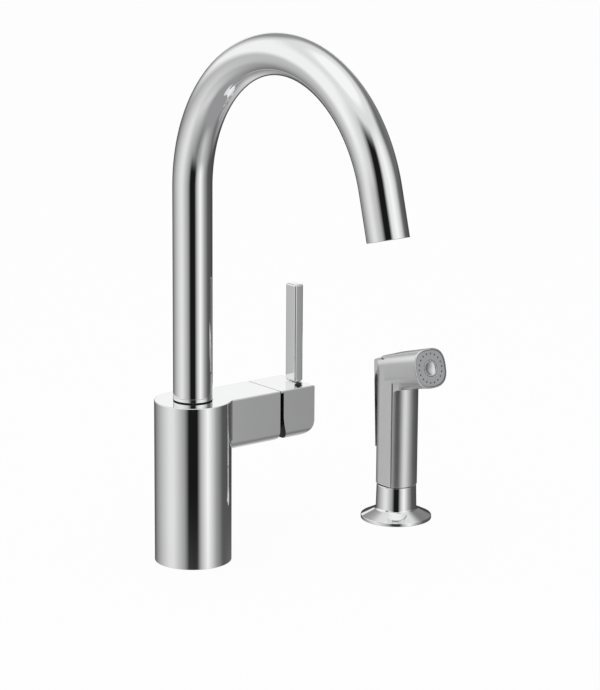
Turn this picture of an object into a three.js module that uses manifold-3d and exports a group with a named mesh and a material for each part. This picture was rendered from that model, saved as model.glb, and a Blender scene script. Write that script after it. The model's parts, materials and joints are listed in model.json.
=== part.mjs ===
// A single-handle kitchen faucet with a high arched spout and a separate side spray.
// Millimetres, +Z up. The origin is the centre of the faucet's base on top of the sink deck.
// The spout reaches towards -Y, where the user stands, and the handle is on the +X side.
import * as THREE from "three";
import { mergeVertices } from "three/addons/utils/BufferGeometryUtils.js";
import Module from "manifold-3d";

const wasm = await Module();
wasm.setup();

// ---------------------------------------------------------------- driving sizes

const GAP = 0.3; // between pieces that seat on each other
const DECK_THICKNESS = 20; // the deck that both fittings are clamped to
const SMOOTH = 36; // facets round the large turned pieces that show
const FINE = 20; // facets round the small turned pieces
const COARSE = 12; // facets round bores and pieces that nothing shows
const ARC = 5; // steps in a rounded corner
const degrees = THREE.MathUtils.degToRad;

// Body casting
const BODY_D = 54.9;
const BODY_H = 117.6;
const BODY_EDGE = 0.6;
const BASE_CAVITY_D = 47;
const BASE_CAVITY_H = 40;
const ARM_DEPTH = 38.5;
const ARM_HEIGHT = 37.2;
const ARM_END_X = 63.7;
const ARM_LOWER_RADIUS = 8;
const ARM_UPPER_RADIUS = 0.8;
const ARM_FILLET = 3;
const ARM_AXIS_Z = BODY_H - ARM_HEIGHT / 2;

// Spout
const SPOUT_D = 28;
const SPOUT_WALL = 1.6;
const BEND_RADIUS = 102.5;
const BEND_START_Z = 270.3;
const BEND_SWEEP = degrees(165.15);
const OUTLET_TAIL = 32.3;
const BEND_STEPS = 19;
const SPOUT_SIDES = 28;
const BORE_SIDES = 20;
const GLIDE_RING_H = 2.5;
const GLIDE_SKIRT_H = 10;
const SPOUT_BORE_D = 29.2;
const SPOUT_BORE_FLOOR_Z = 82;
const FERRULE_BORE_D = 19;
const FERRULE_BOTTOM_Z = 90.5;
const FERRULE_TOP_Z = 148;
const SEAL_CORD_D = 3;
const SEAL_HEIGHTS = [96.5, 103];

// Aerator
const AERATOR_H = 12;
const AERATOR_WALL = 2;
const AERATOR_SETBACK = 0.8;
const AERATOR_HOLE_D = 1.7;
const AERATOR_HOLE_RINGS = [[1, 0], [5, 3.3], [10, 6.6]]; // how many, on what radius
const AERATOR_DISC_H = 5;
const AERATOR_RECESS = 1.5;

// Water ways under the deck
const TUBE_BOTTOM_Z = -78;
const TUBE_SEAT_Z = 51;
const TUBE_SEAT_DEPTH = 9;
const SUPPLY_TUBE_D = 9.5;
const SUPPLY_TUBE_BORE_D = 7;
const SUPPLY_X = 4;
const SUPPLY_Y = 6.2;
const SPRAY_TUBE_D = 8;
const SPRAY_TUBE_BORE_D = 5;
const SPRAY_TUBE_X = -7.4;
const WATERWAY_D = 5;
const MIXED_WATER_D = 6;
const DIVERTER_D = 13.4;
const DIVERTER_BOTTOM_Z = 66.5;
const DIVERTER_FLANGE_D = 19;
const DIVERTER_FLANGE_H = 2;

// Mounting
const SHANK_D = 32.4;
const SHANK_BORE_D = 25;
const SHANK_SOCKET_DEPTH = 12;
const SHANK_BOTTOM_Z = -58;
const GASKET_H = 3;
const WASHER_D = 54;
const WASHER_H = 3;
const NUT_ACROSS_FLATS = 46;
const NUT_H = 12;

// Cartridge and handle, along the arm
const CARTRIDGE_D = 30;
const CARTRIDGE_START_X = 22.3;
const CARTRIDGE_END_X = 53;
const RING_NUT_D = 33;
const RING_NUT_END_X = 62.4;
const ROTOR_D = 18;
const ROTOR_START_X = 42;
const STEM_WIDTH = 7;
const STEM_HEIGHT = 8;
const STEM_START_X = 59;
const STEM_END_X = 91;
const STEM_FINGER = 5.2;
const TILT_X = 70;
const PIVOT_PIN_D = 2.6;
const PIVOT_PIN_L = 15.6;
const DOME_D = 27;
const DOME_WALL = 1.2;
const DOME_MOUTH_ANGLE = degrees(45);
const HUB_START_X = 66.9;
const HUB_END_X = 95.2;
const HUB_NOTCH = 4.2;
const HUB_NOTCH_TOP = 19.6;
const HUB_OUTER_RADIUS = 12;
const HUB_TOP_RADIUS = 1.4;
const LEVER_THICKNESS = 7.6;
const LEVER_WIDTH = 11.5;
const LEVER_TOP_Z = 189.8;
const LEVER_EDGE = 0.8;
const LEVER_FOOT_BEVEL = 1.2;
const LEVER_STUD_D = 6;
const LEVER_STUD_DEPTH = 11;
const SET_SCREW_D = 4.4;
const SET_SCREW_L = 4;
const SET_SCREW_SOCKET = 2.2;
const SET_SCREW_X = 85.7;
const SET_SCREW_TILT = degrees(33);
const STEM_FLAT = 4.2; // from the stem's axis to the flat that the set screw bears on
const PLUG_L = 7;

// Side spray: where it stands, and its deck holder
const SPRAY_X = 182.2;
const SPRAY_Y = -10.5;
const HOLDER_FLANGE_D = 53.2;
const HOLDER_RIM_H = 2.5;
const HOLDER_CONE_TOP_Z = 7.7;
const HOLDER_FOOT_D = 31.8;
const HOLDER_COLLAR_D = 30.7;
const HOLDER_MOUTH_D = 29.8;
const HOLDER_TOP_Z = 26.4;
const HOLDER_BORE_D = 25;
const HOLDER_SHANK_D = 28.6;
const HOLDER_SHANK_BORE_D = 25.2;
const HOLDER_SHANK_SOCKET = 5;
const HOLDER_SHANK_BOTTOM_Z = -46;
const SLEEVE_BORE_D = 21.8;
const SLEEVE_BOTTOM_Z = -20;
const HOLDER_NUT_ACROSS_FLATS = 40;
const HOLDER_NUT_H = 10;

// Side spray: grip, shell and head, in the holder's own frame
const COLUMN_D = 30.8;
const GRIP_BASE_Z = 26.8;
const SHELL_HALF = 13;
const SHELL_WALL = 2.4;
const SHELL_BACK_Y = 14.2;
const SHELL_SEAM_Y = -8;
const SHELL_CORNER = 9;
const SHELL_INNER_RADIUS = 6.5;
const CORE_BACK_Y = 4;
const GRIP_FOOT_H = 9;
const SPIGOT_D = 21;
const SPIGOT_BOTTOM_Z = 14;
const GRIP_WATERWAY_D = 8;
const COUPLING_D = 19.6;
const COUPLING_H = 10;
const COUPLING_LIP = 3;
const STUB_BORE_D = 5;
const STUB_D = 9;
const STUB_FLANGE_D = 12;
const STUB_FLANGE_H = 3.7;
const STUB_END_H = 2.4; // how far the stub stands above its flange, into the grip
const BARB_D = 8.8;
const BARB_ROOT_D = 7.2;
const BARB_COUNT = 3;
const BARB_PITCH = 3;
const BARB_TAIL_H = 12;
const HEAD_TILT = degrees(14);
const HEAD_AXIS_Z = 113.5;
const HEAD_WIDTH = 30.2;
const HEAD_FACE_HEIGHT = 29.6;
const HEAD_BACK_HEIGHT = 27;
const HEAD_REACH = 37.8;
const HEAD_BACK = 14;
const HEAD_SQUARENESS = 2.7;
const HEAD_BACK_RADIUS = 8;
const HEAD_BACK_TOP_Z = 127.2;
const HEAD_CHAMBER_D = 22;
const HEAD_RIM_WALL = 1.4;
const FACE_PLATE_H = 3;
const FACE_PLATE_SETBACK = 0.2;
const FACE_SEAL_H = 2;
const FACE_SEAL_W = 2.2;
const MANIFOLD_BACK_Z = 6;
const MANIFOLD_GAP = 3; // clear water space behind the face plate
const PASSAGE_COUNT = 5;
const PASSAGE_D = 4.4;
const PASSAGE_RADIUS = 7;
const FACE_RING_D = 21.7;
const NOZZLE_COUNT = 18;
const NOZZLE_D = 1.3;
const DISH_D = 12;
const DISH_DEPTH = 1.5;
const DISH_STEM_D = 5;
const DISH_STEM_L = 9;
const DISH_FLANGE_H = 2;
const DISH_LIP = 0.7;

// Side spray: trigger and valve
const TRIGGER_WIDTH = 21;
const TRIGGER_THICKNESS = 3;
const TRIGGER_BOTTOM_Z = 54;
const TRIGGER_BOTTOM_Y = 15.6;
const TRIGGER_TOP_Y = 17.9;
const TRIGGER_CROWN_Z = 113;
const TRIGGER_PIN_Y = 8.5;
const TRIGGER_PIN_Z = 112;
const TRIGGER_PIN_D = 3;
const TRIGGER_BOSS_D = 8;
const VALVE_Z = 84;
const VALVE_BORE_D = 10;
const VALVE_FLOOR_Y = -12;
const VALVE_GLAND_H = 2.5;
const PLUNGER_D = 4;
const PLUNGER_HEAD_D = 8.8;
const PLUNGER_HEAD_H = 2;
const PLUNGER_HEAD_Y = -2;
const SPRING_WIRE_D = 0.8;
const SPRING_COIL_D = 6.8;
const SPRING_TURNS = 4;
const SPRING_STEPS = 14; // straight lengths in one turn of the wire

// ---------------------------------------------------------------- solids

// A closed geometry as a solid that can be joined and cut, with its faces outwards.
function solid(geometry) {
  const bare = geometry.clone();
  bare.deleteAttribute("normal");
  bare.deleteAttribute("uv");
  const merged = mergeVertices(bare, 1e-4);
  const triVerts = new Uint32Array(merged.index.array);
  const make = () =>
    new wasm.Manifold(
      new wasm.Mesh({ numProp: 3, vertProperties: merged.attributes.position.array, triVerts }),
    );
  const made = make();
  if (made.volume() > 0) return made;
  for (let i = 0; i < triVerts.length; i += 3) {
    [triVerts[i + 1], triVerts[i + 2]] = [triVerts[i + 2], triVerts[i + 1]];
  }
  return make();
}

// A solid back as a geometry that a mesh can carry.
function geometryOf(made) {
  const { vertProperties, triVerts, numProp } = made.getMesh();
  const positions = new Float32Array((vertProperties.length / numProp) * 3);
  for (let i = 0; i < positions.length / 3; i++) {
    positions.set(vertProperties.subarray(i * numProp, i * numProp + 3), i * 3);
  }
  const geometry = new THREE.BufferGeometry();
  geometry.setAttribute("position", new THREE.BufferAttribute(positions, 3));
  geometry.setIndex(new THREE.BufferAttribute(new Uint32Array(triVerts), 1));
  const faceted = geometry.toNonIndexed();
  faceted.computeVertexNormals();
  return faceted;
}

const join = (first, ...others) => others.reduce((a, b) => a.add(b), first);
const cut = (first, ...others) => others.reduce((a, b) => a.subtract(b), first);

const moved = (geometry, x, y, z) => geometry.translate(x, y, z);

// A profile of [radius, height] pairs turned about Z. It starts and ends on the axis, or closes.
function turned(profile, facets = SMOOTH) {
  const points = profile.map(([r, z]) => new THREE.Vector2(r, z));
  return new THREE.LatheGeometry(points, facets).rotateX(Math.PI / 2);
}

function rod(diameter, from, to, facets = FINE) {
  const r = diameter / 2;
  return turned([[0, from], [r, from], [r, to], [0, to]], facets);
}

function ring(outer, inner, from, to, facets = FINE) {
  const [a, b] = [outer / 2, inner / 2];
  return turned([[b, from], [a, from], [a, to], [b, to], [b, from]], facets);
}

function block(x0, x1, y0, y1, z0, z1) {
  const box = new THREE.BoxGeometry(x1 - x0, y1 - y0, z1 - z0);
  return moved(box, (x0 + x1) / 2, (y0 + y1) / 2, (z0 + z1) / 2);
}

// An outline pushed along an axis. Along X it is drawn in (Y, Z), along Y in (X, Z), along Z in (X, Y).
function prism(shape, axis, from, to, curveSegments = ARC) {
  const pushed = new THREE.ExtrudeGeometry(shape, {
    depth: to - from,
    bevelEnabled: false,
    curveSegments,
  });
  if (axis === "z") return moved(pushed, 0, 0, from);
  const [X, Y, Z] = [
    new THREE.Vector3(1, 0, 0),
    new THREE.Vector3(0, 1, 0),
    new THREE.Vector3(0, 0, 1),
  ];
  const turn = new THREE.Matrix4();
  if (axis === "x") {
    pushed.applyMatrix4(turn.makeBasis(Y, Z, X));
    return moved(pushed, from, 0, 0);
  }
  pushed.applyMatrix4(turn.makeBasis(X, Z, Y.negate()));
  return moved(pushed, 0, to, 0);
}

// A rectangle whose four corner radii start at the lower left and go anticlockwise.
function roundedRectangle(x0, x1, y0, y1, [r00, r10, r11, r01]) {
  const shape = new THREE.Shape();
  shape.moveTo(x0 + r00, y0);
  shape.lineTo(x1 - r10, y0);
  if (r10) shape.absarc(x1 - r10, y0 + r10, r10, -Math.PI / 2, 0, false);
  shape.lineTo(x1, y1 - r11);
  if (r11) shape.absarc(x1 - r11, y1 - r11, r11, 0, Math.PI / 2, false);
  shape.lineTo(x0 + r01, y1);
  if (r01) shape.absarc(x0 + r01, y1 - r01, r01, Math.PI / 2, Math.PI, false);
  shape.lineTo(x0, y0 + r00);
  if (r00) shape.absarc(x0 + r00, y0 + r00, r00, Math.PI, Math.PI * 1.5, false);
  return shape;
}

function polygon(points) {
  return new THREE.Shape(points.map(([x, y]) => new THREE.Vector2(x, y)));
}

// A rounded square: the superellipse that a soft-cornered head is drawn with.
function squircle(width, height, power, count = 32) {
  const points = [];
  for (let i = 0; i < count; i++) {
    const a = (i / count) * Math.PI * 2;
    const x = Math.sign(Math.cos(a)) * Math.abs(Math.cos(a)) ** (2 / power);
    const y = Math.sign(Math.sin(a)) * Math.abs(Math.sin(a)) ** (2 / power);
    points.push([(x * width) / 2, (y * height) / 2]);
  }
  return polygon(points);
}

function hexagon(acrossFlats) {
  const r = acrossFlats / Math.sqrt(3);
  return polygon(
    Array.from({ length: 6 }, (_, i) => [
      r * Math.cos((i * Math.PI) / 3),
      r * Math.sin((i * Math.PI) / 3),
    ]),
  );
}

// ---------------------------------------------------------------- materials

const finish = (color, roughness, metalness) =>
  new THREE.MeshStandardMaterial({ color, roughness, metalness });

const chrome = finish(0xc9ccd0, 0.08, 1);
const satinChrome = finish(0xb4b6ba, 0.22, 1);
const brass = finish(0xb89a5a, 0.35, 1);
const copper = finish(0xb8795a, 0.35, 1);
const steel = finish(0x9a9ca0, 0.35, 1);
const blackRubber = finish(0x161616, 0.8, 0);
const blackPlastic = finish(0x1d1d1f, 0.5, 0);
const whitePlastic = finish(0xe6e6e2, 0.45, 0);
const greyPlastic = finish(0x8d9092, 0.5, 0);

// ---------------------------------------------------------------- scene graph

const faucet = new THREE.Group();
const spout = new THREE.Group();
const valve = new THREE.Group();
const handle = new THREE.Group();
const spray = new THREE.Group();
const head = new THREE.Group();

faucet.add(spout, valve, handle, spray);
valve.position.set(0, 0, ARM_AXIS_Z); // its +Z runs out along the arm
valve.rotation.y = Math.PI / 2;
handle.position.set(TILT_X, 0, ARM_AXIS_Z); // the tilt axis
spray.position.set(SPRAY_X, SPRAY_Y, 0);
spray.add(head);
head.position.set(0, 0, HEAD_AXIS_Z); // its +Z looks out of the spray face
head.rotation.x = Math.PI / 2 - HEAD_TILT;

function piece(group, name, material, shape) {
  const geometry = shape.isBufferGeometry ? shape : geometryOf(shape);
  const mesh = new THREE.Mesh(geometry, material);
  mesh.name = name;
  group.add(mesh);
  return mesh;
}

// ---------------------------------------------------------------- body casting

const ARM_BOTTOM_Z = BODY_H - ARM_HEIGHT;

// The valve arm's cross-section, seen along X.
const armSection = roundedRectangle(
  -ARM_DEPTH / 2,
  ARM_DEPTH / 2,
  ARM_BOTTOM_Z,
  BODY_H,
  [ARM_LOWER_RADIUS, ARM_LOWER_RADIUS, ARM_UPPER_RADIUS, ARM_UPPER_RADIUS],
);

// The web that blends the arm's flat side into the round body, seen from above.
function armFillet(side) {
  const centreY = ARM_DEPTH / 2 + ARM_FILLET;
  const centreX = Math.sqrt((BODY_D / 2 + ARM_FILLET) ** 2 - centreY ** 2);
  const bodyEnd = Math.atan2(centreY, centreX) + Math.PI;
  const web = new THREE.Shape();
  web.moveTo(centreX - ARM_FILLET * 3, ARM_DEPTH / 2 - 2);
  web.lineTo(centreX, ARM_DEPTH / 2 - 2);
  web.lineTo(centreX, ARM_DEPTH / 2);
  web.absarc(centreX, centreY, ARM_FILLET, -Math.PI / 2, bodyEnd - Math.PI * 2, true);
  const made = solid(prism(web, "z", ARM_BOTTOM_Z + ARM_LOWER_RADIUS, BODY_H, 6));
  return side > 0 ? made : made.mirror([0, 1, 0]);
}

function bodyHousing() {
  const r = BODY_D / 2;
  const shell = solid(
    turned([[0, 0], [r, 0], [r, BODY_H - BODY_EDGE], [r - BODY_EDGE, BODY_H], [0, BODY_H]], 44),
  );
  const arm = solid(prism(armSection, "x", 0, ARM_END_X));
  // The arm's end is eased at the bottom, which leaves room for the handle to tilt.
  const ease = new THREE.Shape();
  ease.moveTo(ARM_END_X - ARM_LOWER_RADIUS, ARM_BOTTOM_Z - 1);
  ease.lineTo(ARM_END_X - ARM_LOWER_RADIUS, ARM_BOTTOM_Z);
  ease.absarc(
    ARM_END_X - ARM_LOWER_RADIUS,
    ARM_BOTTOM_Z + ARM_LOWER_RADIUS,
    ARM_LOWER_RADIUS,
    -Math.PI / 2,
    0,
    false,
  );
  ease.lineTo(ARM_END_X + 1, ARM_BOTTOM_Z + ARM_LOWER_RADIUS);
  ease.lineTo(ARM_END_X + 1, ARM_BOTTOM_Z - 1);
  const easing = solid(prism(ease, "y", -ARM_DEPTH, ARM_DEPTH));

  const along = (diameter, from, to, y, z, sides = COARSE) =>
    solid(moved(rod(diameter, from, to, sides).rotateY(Math.PI / 2), 0, y, z));
  const upright = (diameter, from, to, x, y) =>
    solid(moved(rod(diameter, from, to, COARSE), x, y, 0));
  const seatTop = TUBE_SEAT_Z + TUBE_SEAT_DEPTH;
  const crossZ = seatTop - WATERWAY_D / 2;
  const riseX = CARTRIDGE_START_X - 1;
  const bores = [
    solid(rod(BASE_CAVITY_D, -1, BASE_CAVITY_H)),
    solid(rod(SHANK_D + 2 * GAP, BASE_CAVITY_H - 1, BASE_CAVITY_H + SHANK_SOCKET_DEPTH)),
    solid(rod(SPOUT_BORE_D, SPOUT_BORE_FLOOR_Z, BODY_H + 1)),
    solid(rod(DIVERTER_D + 2 * GAP, DIVERTER_BOTTOM_Z - 2.5, SPOUT_BORE_FLOOR_Z + 1)),
    along(CARTRIDGE_D + 2 * GAP, CARTRIDGE_START_X - GAP, ARM_END_X + 1, 0, ARM_AXIS_Z, FINE),
    along(RING_NUT_D + 2 * GAP, CARTRIDGE_END_X, ARM_END_X + 1, 0, ARM_AXIS_Z, FINE),
    along(MIXED_WATER_D, 8, CARTRIDGE_START_X + 1, 0, SPOUT_BORE_FLOOR_Z + MIXED_WATER_D * 0.75),
    upright(SPRAY_TUBE_D + 2 * GAP, TUBE_SEAT_Z - 1, seatTop, SPRAY_TUBE_X, 0),
    upright(WATERWAY_D - 1, seatTop - 1, DIVERTER_BOTTOM_Z, SPRAY_TUBE_X + 1.6, 0),
  ];
  for (const side of [-1, 1]) {
    const y = side * SUPPLY_Y;
    bores.push(upright(SUPPLY_TUBE_D + 2 * GAP, TUBE_SEAT_Z - 1, seatTop, SUPPLY_X, y));
    bores.push(along(WATERWAY_D, SUPPLY_X, riseX, y, crossZ));
    bores.push(upright(WATERWAY_D, crossZ - WATERWAY_D / 2, ARM_AXIS_Z, riseX, y));
  }
  return cut(join(shell, arm, armFillet(1), armFillet(-1)), easing, ...bores);
}

piece(faucet, "body_housing", chrome, bodyHousing());

// ---------------------------------------------------------------- deck mounting

function nut(acrossFlats, height, bore, top) {
  const blank = solid(prism(hexagon(acrossFlats), "z", top - height, top));
  const r = acrossFlats / Math.sqrt(3);
  const flat = acrossFlats / 2;
  const drop = (r - flat) * 0.58;
  const chamfer = solid(
    turned([
      [0, top - height],
      [flat, top - height],
      [r, top - height + drop],
      [r, top - drop],
      [flat, top],
      [0, top],
    ], 24),
  );
  return cut(blank.intersect(chamfer), solid(rod(bore, top - height - 1, top + 1)));
}

const shankTop = BASE_CAVITY_H + SHANK_SOCKET_DEPTH - GAP;
const shankFit = SHANK_D + 2 * GAP;
piece(faucet, "mounting_shank", brass, ring(SHANK_D, SHANK_BORE_D, SHANK_BOTTOM_Z, shankTop));
piece(faucet, "base_gasket", blackRubber, ring(BASE_CAVITY_D - 2 * GAP, shankFit, 0, GASKET_H));
piece(
  faucet,
  "mounting_washer",
  steel,
  ring(WASHER_D, shankFit, -DECK_THICKNESS - WASHER_H, -DECK_THICKNESS),
);
piece(
  faucet,
  "mounting_nut",
  brass,
  nut(NUT_ACROSS_FLATS, NUT_H, shankFit, -DECK_THICKNESS - WASHER_H - GAP),
);

// ---------------------------------------------------------------- water tubes and diverter

const tubeTop = TUBE_SEAT_Z + TUBE_SEAT_DEPTH - GAP;

function waterTube(name, diameter, bore, x, y) {
  const tube = piece(faucet, name, copper, ring(diameter, bore, TUBE_BOTTOM_Z, tubeTop, 16));
  tube.position.set(x, y, 0);
}

waterTube("hot_supply_tube", SUPPLY_TUBE_D, SUPPLY_TUBE_BORE_D, SUPPLY_X, -SUPPLY_Y);
waterTube("cold_supply_tube", SUPPLY_TUBE_D, SUPPLY_TUBE_BORE_D, SUPPLY_X, SUPPLY_Y);
waterTube("spray_outlet_tube", SPRAY_TUBE_D, SPRAY_TUBE_BORE_D, SPRAY_TUBE_X, 0);

// The diverter drops into the bore under the spout and hangs there by its flange.
function diverterValve() {
  const r = DIVERTER_D / 2;
  const flange = SPOUT_BORE_FLOOR_Z + GAP;
  return turned(
    [
      [0, DIVERTER_BOTTOM_Z],
      [r - 1, DIVERTER_BOTTOM_Z],
      [r, DIVERTER_BOTTOM_Z + 1],
      [r, 73],
      [r - 1.5, 73],
      [r - 1.5, 75.5],
      [r, 75.5],
      [r, flange],
      [DIVERTER_FLANGE_D / 2, flange],
      [DIVERTER_FLANGE_D / 2, flange + DIVERTER_FLANGE_H],
      [3, flange + DIVERTER_FLANGE_H],
      [3, DIVERTER_BOTTOM_Z + 3],
      [0, DIVERTER_BOTTOM_Z + 3],
    ],
    16,
  );
}

piece(faucet, "diverter_valve", whitePlastic, diverterValve());

// ---------------------------------------------------------------- spout

const glideTop = BODY_H + GAP + GLIDE_RING_H;
const spoutBottom = glideTop + GAP;
const spoutBore = SPOUT_D - 2 * SPOUT_WALL;
const ferruleD = spoutBore - 2 * GAP;

// The centre line: a straight riser, the arch, and a short straight tail.
class SpoutLine extends THREE.Curve {
  constructor(bendSteps) {
    super();
    this.steps = bendSteps + 2;
  }
  // Stations are spaced by shape and not by length: one riser, the arch in equal turns, one tail.
  getUtoTmapping(u) {
    return u;
  }
  bendAngle(t) {
    const station = t * this.steps;
    return (THREE.MathUtils.clamp(station - 1, 0, this.steps - 2) / (this.steps - 2)) * BEND_SWEEP;
  }
  getPoint(t, target = new THREE.Vector3()) {
    const station = t * this.steps;
    const a = this.bendAngle(t);
    const rise = Math.min(station, 1) * (BEND_START_Z - spoutBottom);
    const tail = Math.max(station - (this.steps - 1), 0) * OUTLET_TAIL;
    const y = -BEND_RADIUS * (1 - Math.cos(a)) - tail * Math.sin(a);
    const z = spoutBottom + rise + BEND_RADIUS * Math.sin(a) + tail * Math.cos(a);
    return target.set(0, y, z);
  }
  getTangent(t, target = new THREE.Vector3()) {
    const a = this.bendAngle(t);
    return target.set(0, -Math.sin(a), Math.cos(a));
  }
}

function circlePoints(diameter, count) {
  return Array.from({ length: count }, (_, i) => {
    const a = (i / count) * Math.PI * 2;
    return new THREE.Vector2((Math.cos(a) * diameter) / 2, (Math.sin(a) * diameter) / 2);
  });
}

function spoutTube() {
  const line = new SpoutLine(BEND_STEPS);
  const section = new THREE.Shape(circlePoints(SPOUT_D, SPOUT_SIDES));
  section.holes.push(new THREE.Path(circlePoints(spoutBore, BORE_SIDES).reverse()));
  return new THREE.ExtrudeGeometry(section, {
    steps: line.steps,
    extrudePath: line,
    bevelEnabled: false,
  });
}

// The ferrule is fixed in the tube and turns in the body. Its grooves hold two seals and a clip.
function spoutFerrule() {
  const r = ferruleD / 2;
  const groove = r - SEAL_CORD_D / 2 + 0.2;
  const half = SEAL_CORD_D / 2 + 0.2;
  const profile = [
    [FERRULE_BORE_D / 2, FERRULE_BOTTOM_Z],
    [r - 0.8, FERRULE_BOTTOM_Z],
    [r, FERRULE_BOTTOM_Z + 0.8],
  ];
  for (const z of SEAL_HEIGHTS) {
    profile.push([r, z - half], [groove, z - half], [groove, z + half], [r, z + half]);
  }
  profile.push([r, FERRULE_TOP_Z], [FERRULE_BORE_D / 2, FERRULE_TOP_Z]);
  profile.push([FERRULE_BORE_D / 2, FERRULE_BOTTOM_Z]);
  return turned(profile, 16);
}

function seal(z) {
  const inner = ferruleD / 2 - SEAL_CORD_D / 2 + 0.5;
  const outer = SPOUT_BORE_D / 2 - GAP;
  const cord = (outer - inner) / 2;
  return moved(new THREE.TorusGeometry(inner + cord, cord, 5, FINE), 0, 0, z);
}

// The glide ring shows as a thin band; its skirt carries the spout in the body's bore.
function glideRing() {
  const inner = ferruleD / 2 + GAP;
  const skirt = SPOUT_BORE_D / 2 - GAP;
  const low = BODY_H + GAP;
  return turned([
    [inner, low - GLIDE_SKIRT_H],
    [Math.min(skirt, SPOUT_D / 2), low - GLIDE_SKIRT_H],
    [Math.min(skirt, SPOUT_D / 2), low],
    [SPOUT_D / 2, low],
    [SPOUT_D / 2, glideTop],
    [inner, glideTop],
    [inner, low - GLIDE_SKIRT_H],
  ]);
}

piece(faucet, "spout_glide_ring", satinChrome, glideRing());
piece(spout, "spout_tube", chrome, spoutTube());
piece(spout, "spout_ferrule", brass, spoutFerrule());
piece(spout, "spout_seal_lower", blackRubber, seal(SEAL_HEIGHTS[0]));
piece(spout, "spout_seal_upper", blackRubber, seal(SEAL_HEIGHTS[1]));

// ---------------------------------------------------------------- aerator

const aerator = new THREE.Group();
spout.add(aerator);
{
  const end = new SpoutLine(BEND_STEPS);
  aerator.position.copy(end.getPoint(1));
  aerator.rotation.x = BEND_SWEEP; // its +Z runs out of the outlet
}
const aeratorD = spoutBore - 2 * GAP;
const aeratorBore = aeratorD - 2 * AERATOR_WALL;
const aeratorFace = -AERATOR_SETBACK;

function aeratorInsert() {
  const top = aeratorFace - AERATOR_RECESS;
  const bottom = top - AERATOR_DISC_H;
  const holes = [];
  for (const [count, radius] of AERATOR_HOLE_RINGS) {
    for (let i = 0; i < count; i++) {
      const a = (i / count) * Math.PI * 2;
      const hole = rod(AERATOR_HOLE_D, bottom - 1, top + 1, 5);
      holes.push(solid(moved(hole, radius * Math.cos(a), radius * Math.sin(a), 0)));
    }
  }
  return cut(solid(rod(aeratorBore - 2 * GAP, bottom, top)), ...holes);
}

piece(
  aerator,
  "aerator_shell",
  satinChrome,
  ring(aeratorD, aeratorBore, aeratorFace - AERATOR_H, aeratorFace),
);
piece(aerator, "aerator_insert", greyPlastic, aeratorInsert());
piece(
  aerator,
  "aerator_washer",
  blackRubber,
  ring(aeratorD, aeratorBore - 4, aeratorFace - AERATOR_H - GAP - 2, aeratorFace - AERATOR_H - GAP),
);

// ---------------------------------------------------------------- cartridge, drawn along the arm

const pivotR = DOME_D / 2;

function cartridgeBody() {
  const r = CARTRIDGE_D / 2;
  const bore = ROTOR_D / 2 + GAP;
  return turned(
    [
      [0, CARTRIDGE_START_X],
      [r - 1, CARTRIDGE_START_X],
      [r - 1, CARTRIDGE_START_X + 3],
      [r, CARTRIDGE_START_X + 4],
      [r, CARTRIDGE_END_X],
      [bore, CARTRIDGE_END_X],
      [bore, ROTOR_START_X - GAP],
      [0, ROTOR_START_X - GAP],
    ],
    FINE,
  );
}

// A pin across the row at that height, and the hole for it.
function acrossPin(diameter, length, z) {
  return moved(rod(diameter, -length / 2, length / 2, 16).rotateX(Math.PI / 2), 0, 0, z);
}

const pinHole = (z) => solid(acrossPin(PIVOT_PIN_D + 2 * GAP, 40, z));

// The rotor turns with the handle. Its slot holds the stem, which rocks on the pin.
function cartridgeRotor() {
  const made = solid(rod(ROTOR_D, ROTOR_START_X, TILT_X + 4));
  const half = STEM_WIDTH / 2 + GAP;
  const slot = solid(block(-20, 20, -half, half, STEM_START_X - 3, TILT_X + 6));
  return cut(made, slot, pinHole(TILT_X));
}

function cartridgeStem() {
  const [h, w] = [STEM_HEIGHT / 2, STEM_WIDTH / 2];
  const section = roundedRectangle(-h, h, -w, w, [1, 1, 1, 1]);
  const blade = solid(prism(section, "z", STEM_START_X, STEM_END_X, 3));
  // Under the pin the blade narrows to the finger that moves the ceramic disc.
  const shoulder = TILT_X - STEM_HEIGHT / 2;
  const beside = [
    block(STEM_FINGER / 2, 20, -20, 20, STEM_START_X - 1, shoulder),
    block(-20, -STEM_FINGER / 2, -20, 20, STEM_START_X - 1, shoulder),
  ];
  // The set screw bears on a slanted flat near the outer end.
  const screwFlat = block(-20, -STEM_FLAT, -20, 20, SET_SCREW_X - SET_SCREW_D, STEM_END_X + 1);
  screwFlat.rotateZ(SET_SCREW_TILT);
  return cut(blade, ...beside.map(solid), pinHole(TILT_X), solid(screwFlat));
}

// A round cap over the cartridge, seen as the dark ball in the gap behind the handle.
function cartridgeDome() {
  const profile = [];
  const base = RING_NUT_END_X + GAP - TILT_X;
  const steps = 4;
  const arc = (r, from, to) => {
    for (let i = 0; i <= steps; i++) {
      const a = from + ((to - from) * i) / steps;
      profile.push([r * Math.sin(a), TILT_X + r * Math.cos(a)]);
    }
  };
  const inner = pivotR - DOME_WALL;
  arc(pivotR, Math.acos(base / pivotR), DOME_MOUTH_ANGLE);
  arc(inner, DOME_MOUTH_ANGLE, Math.acos(base / inner));
  profile.push(profile[0]);
  return turned(profile, FINE);
}

piece(valve, "cartridge_body", whitePlastic, cartridgeBody());
piece(valve, "cartridge_rotor", greyPlastic, cartridgeRotor());
piece(valve, "stem_pivot_pin", steel, acrossPin(PIVOT_PIN_D, PIVOT_PIN_L, TILT_X));
piece(valve, "cartridge_stem", steel, cartridgeStem());
piece(
  valve,
  "cartridge_ring_nut",
  brass,
  ring(RING_NUT_D, ROTOR_D + 3, CARTRIDGE_END_X + GAP, RING_NUT_END_X),
);
piece(valve, "cartridge_dome", blackPlastic, cartridgeDome());

// ---------------------------------------------------------------- handle, about the tilt axis

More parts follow.
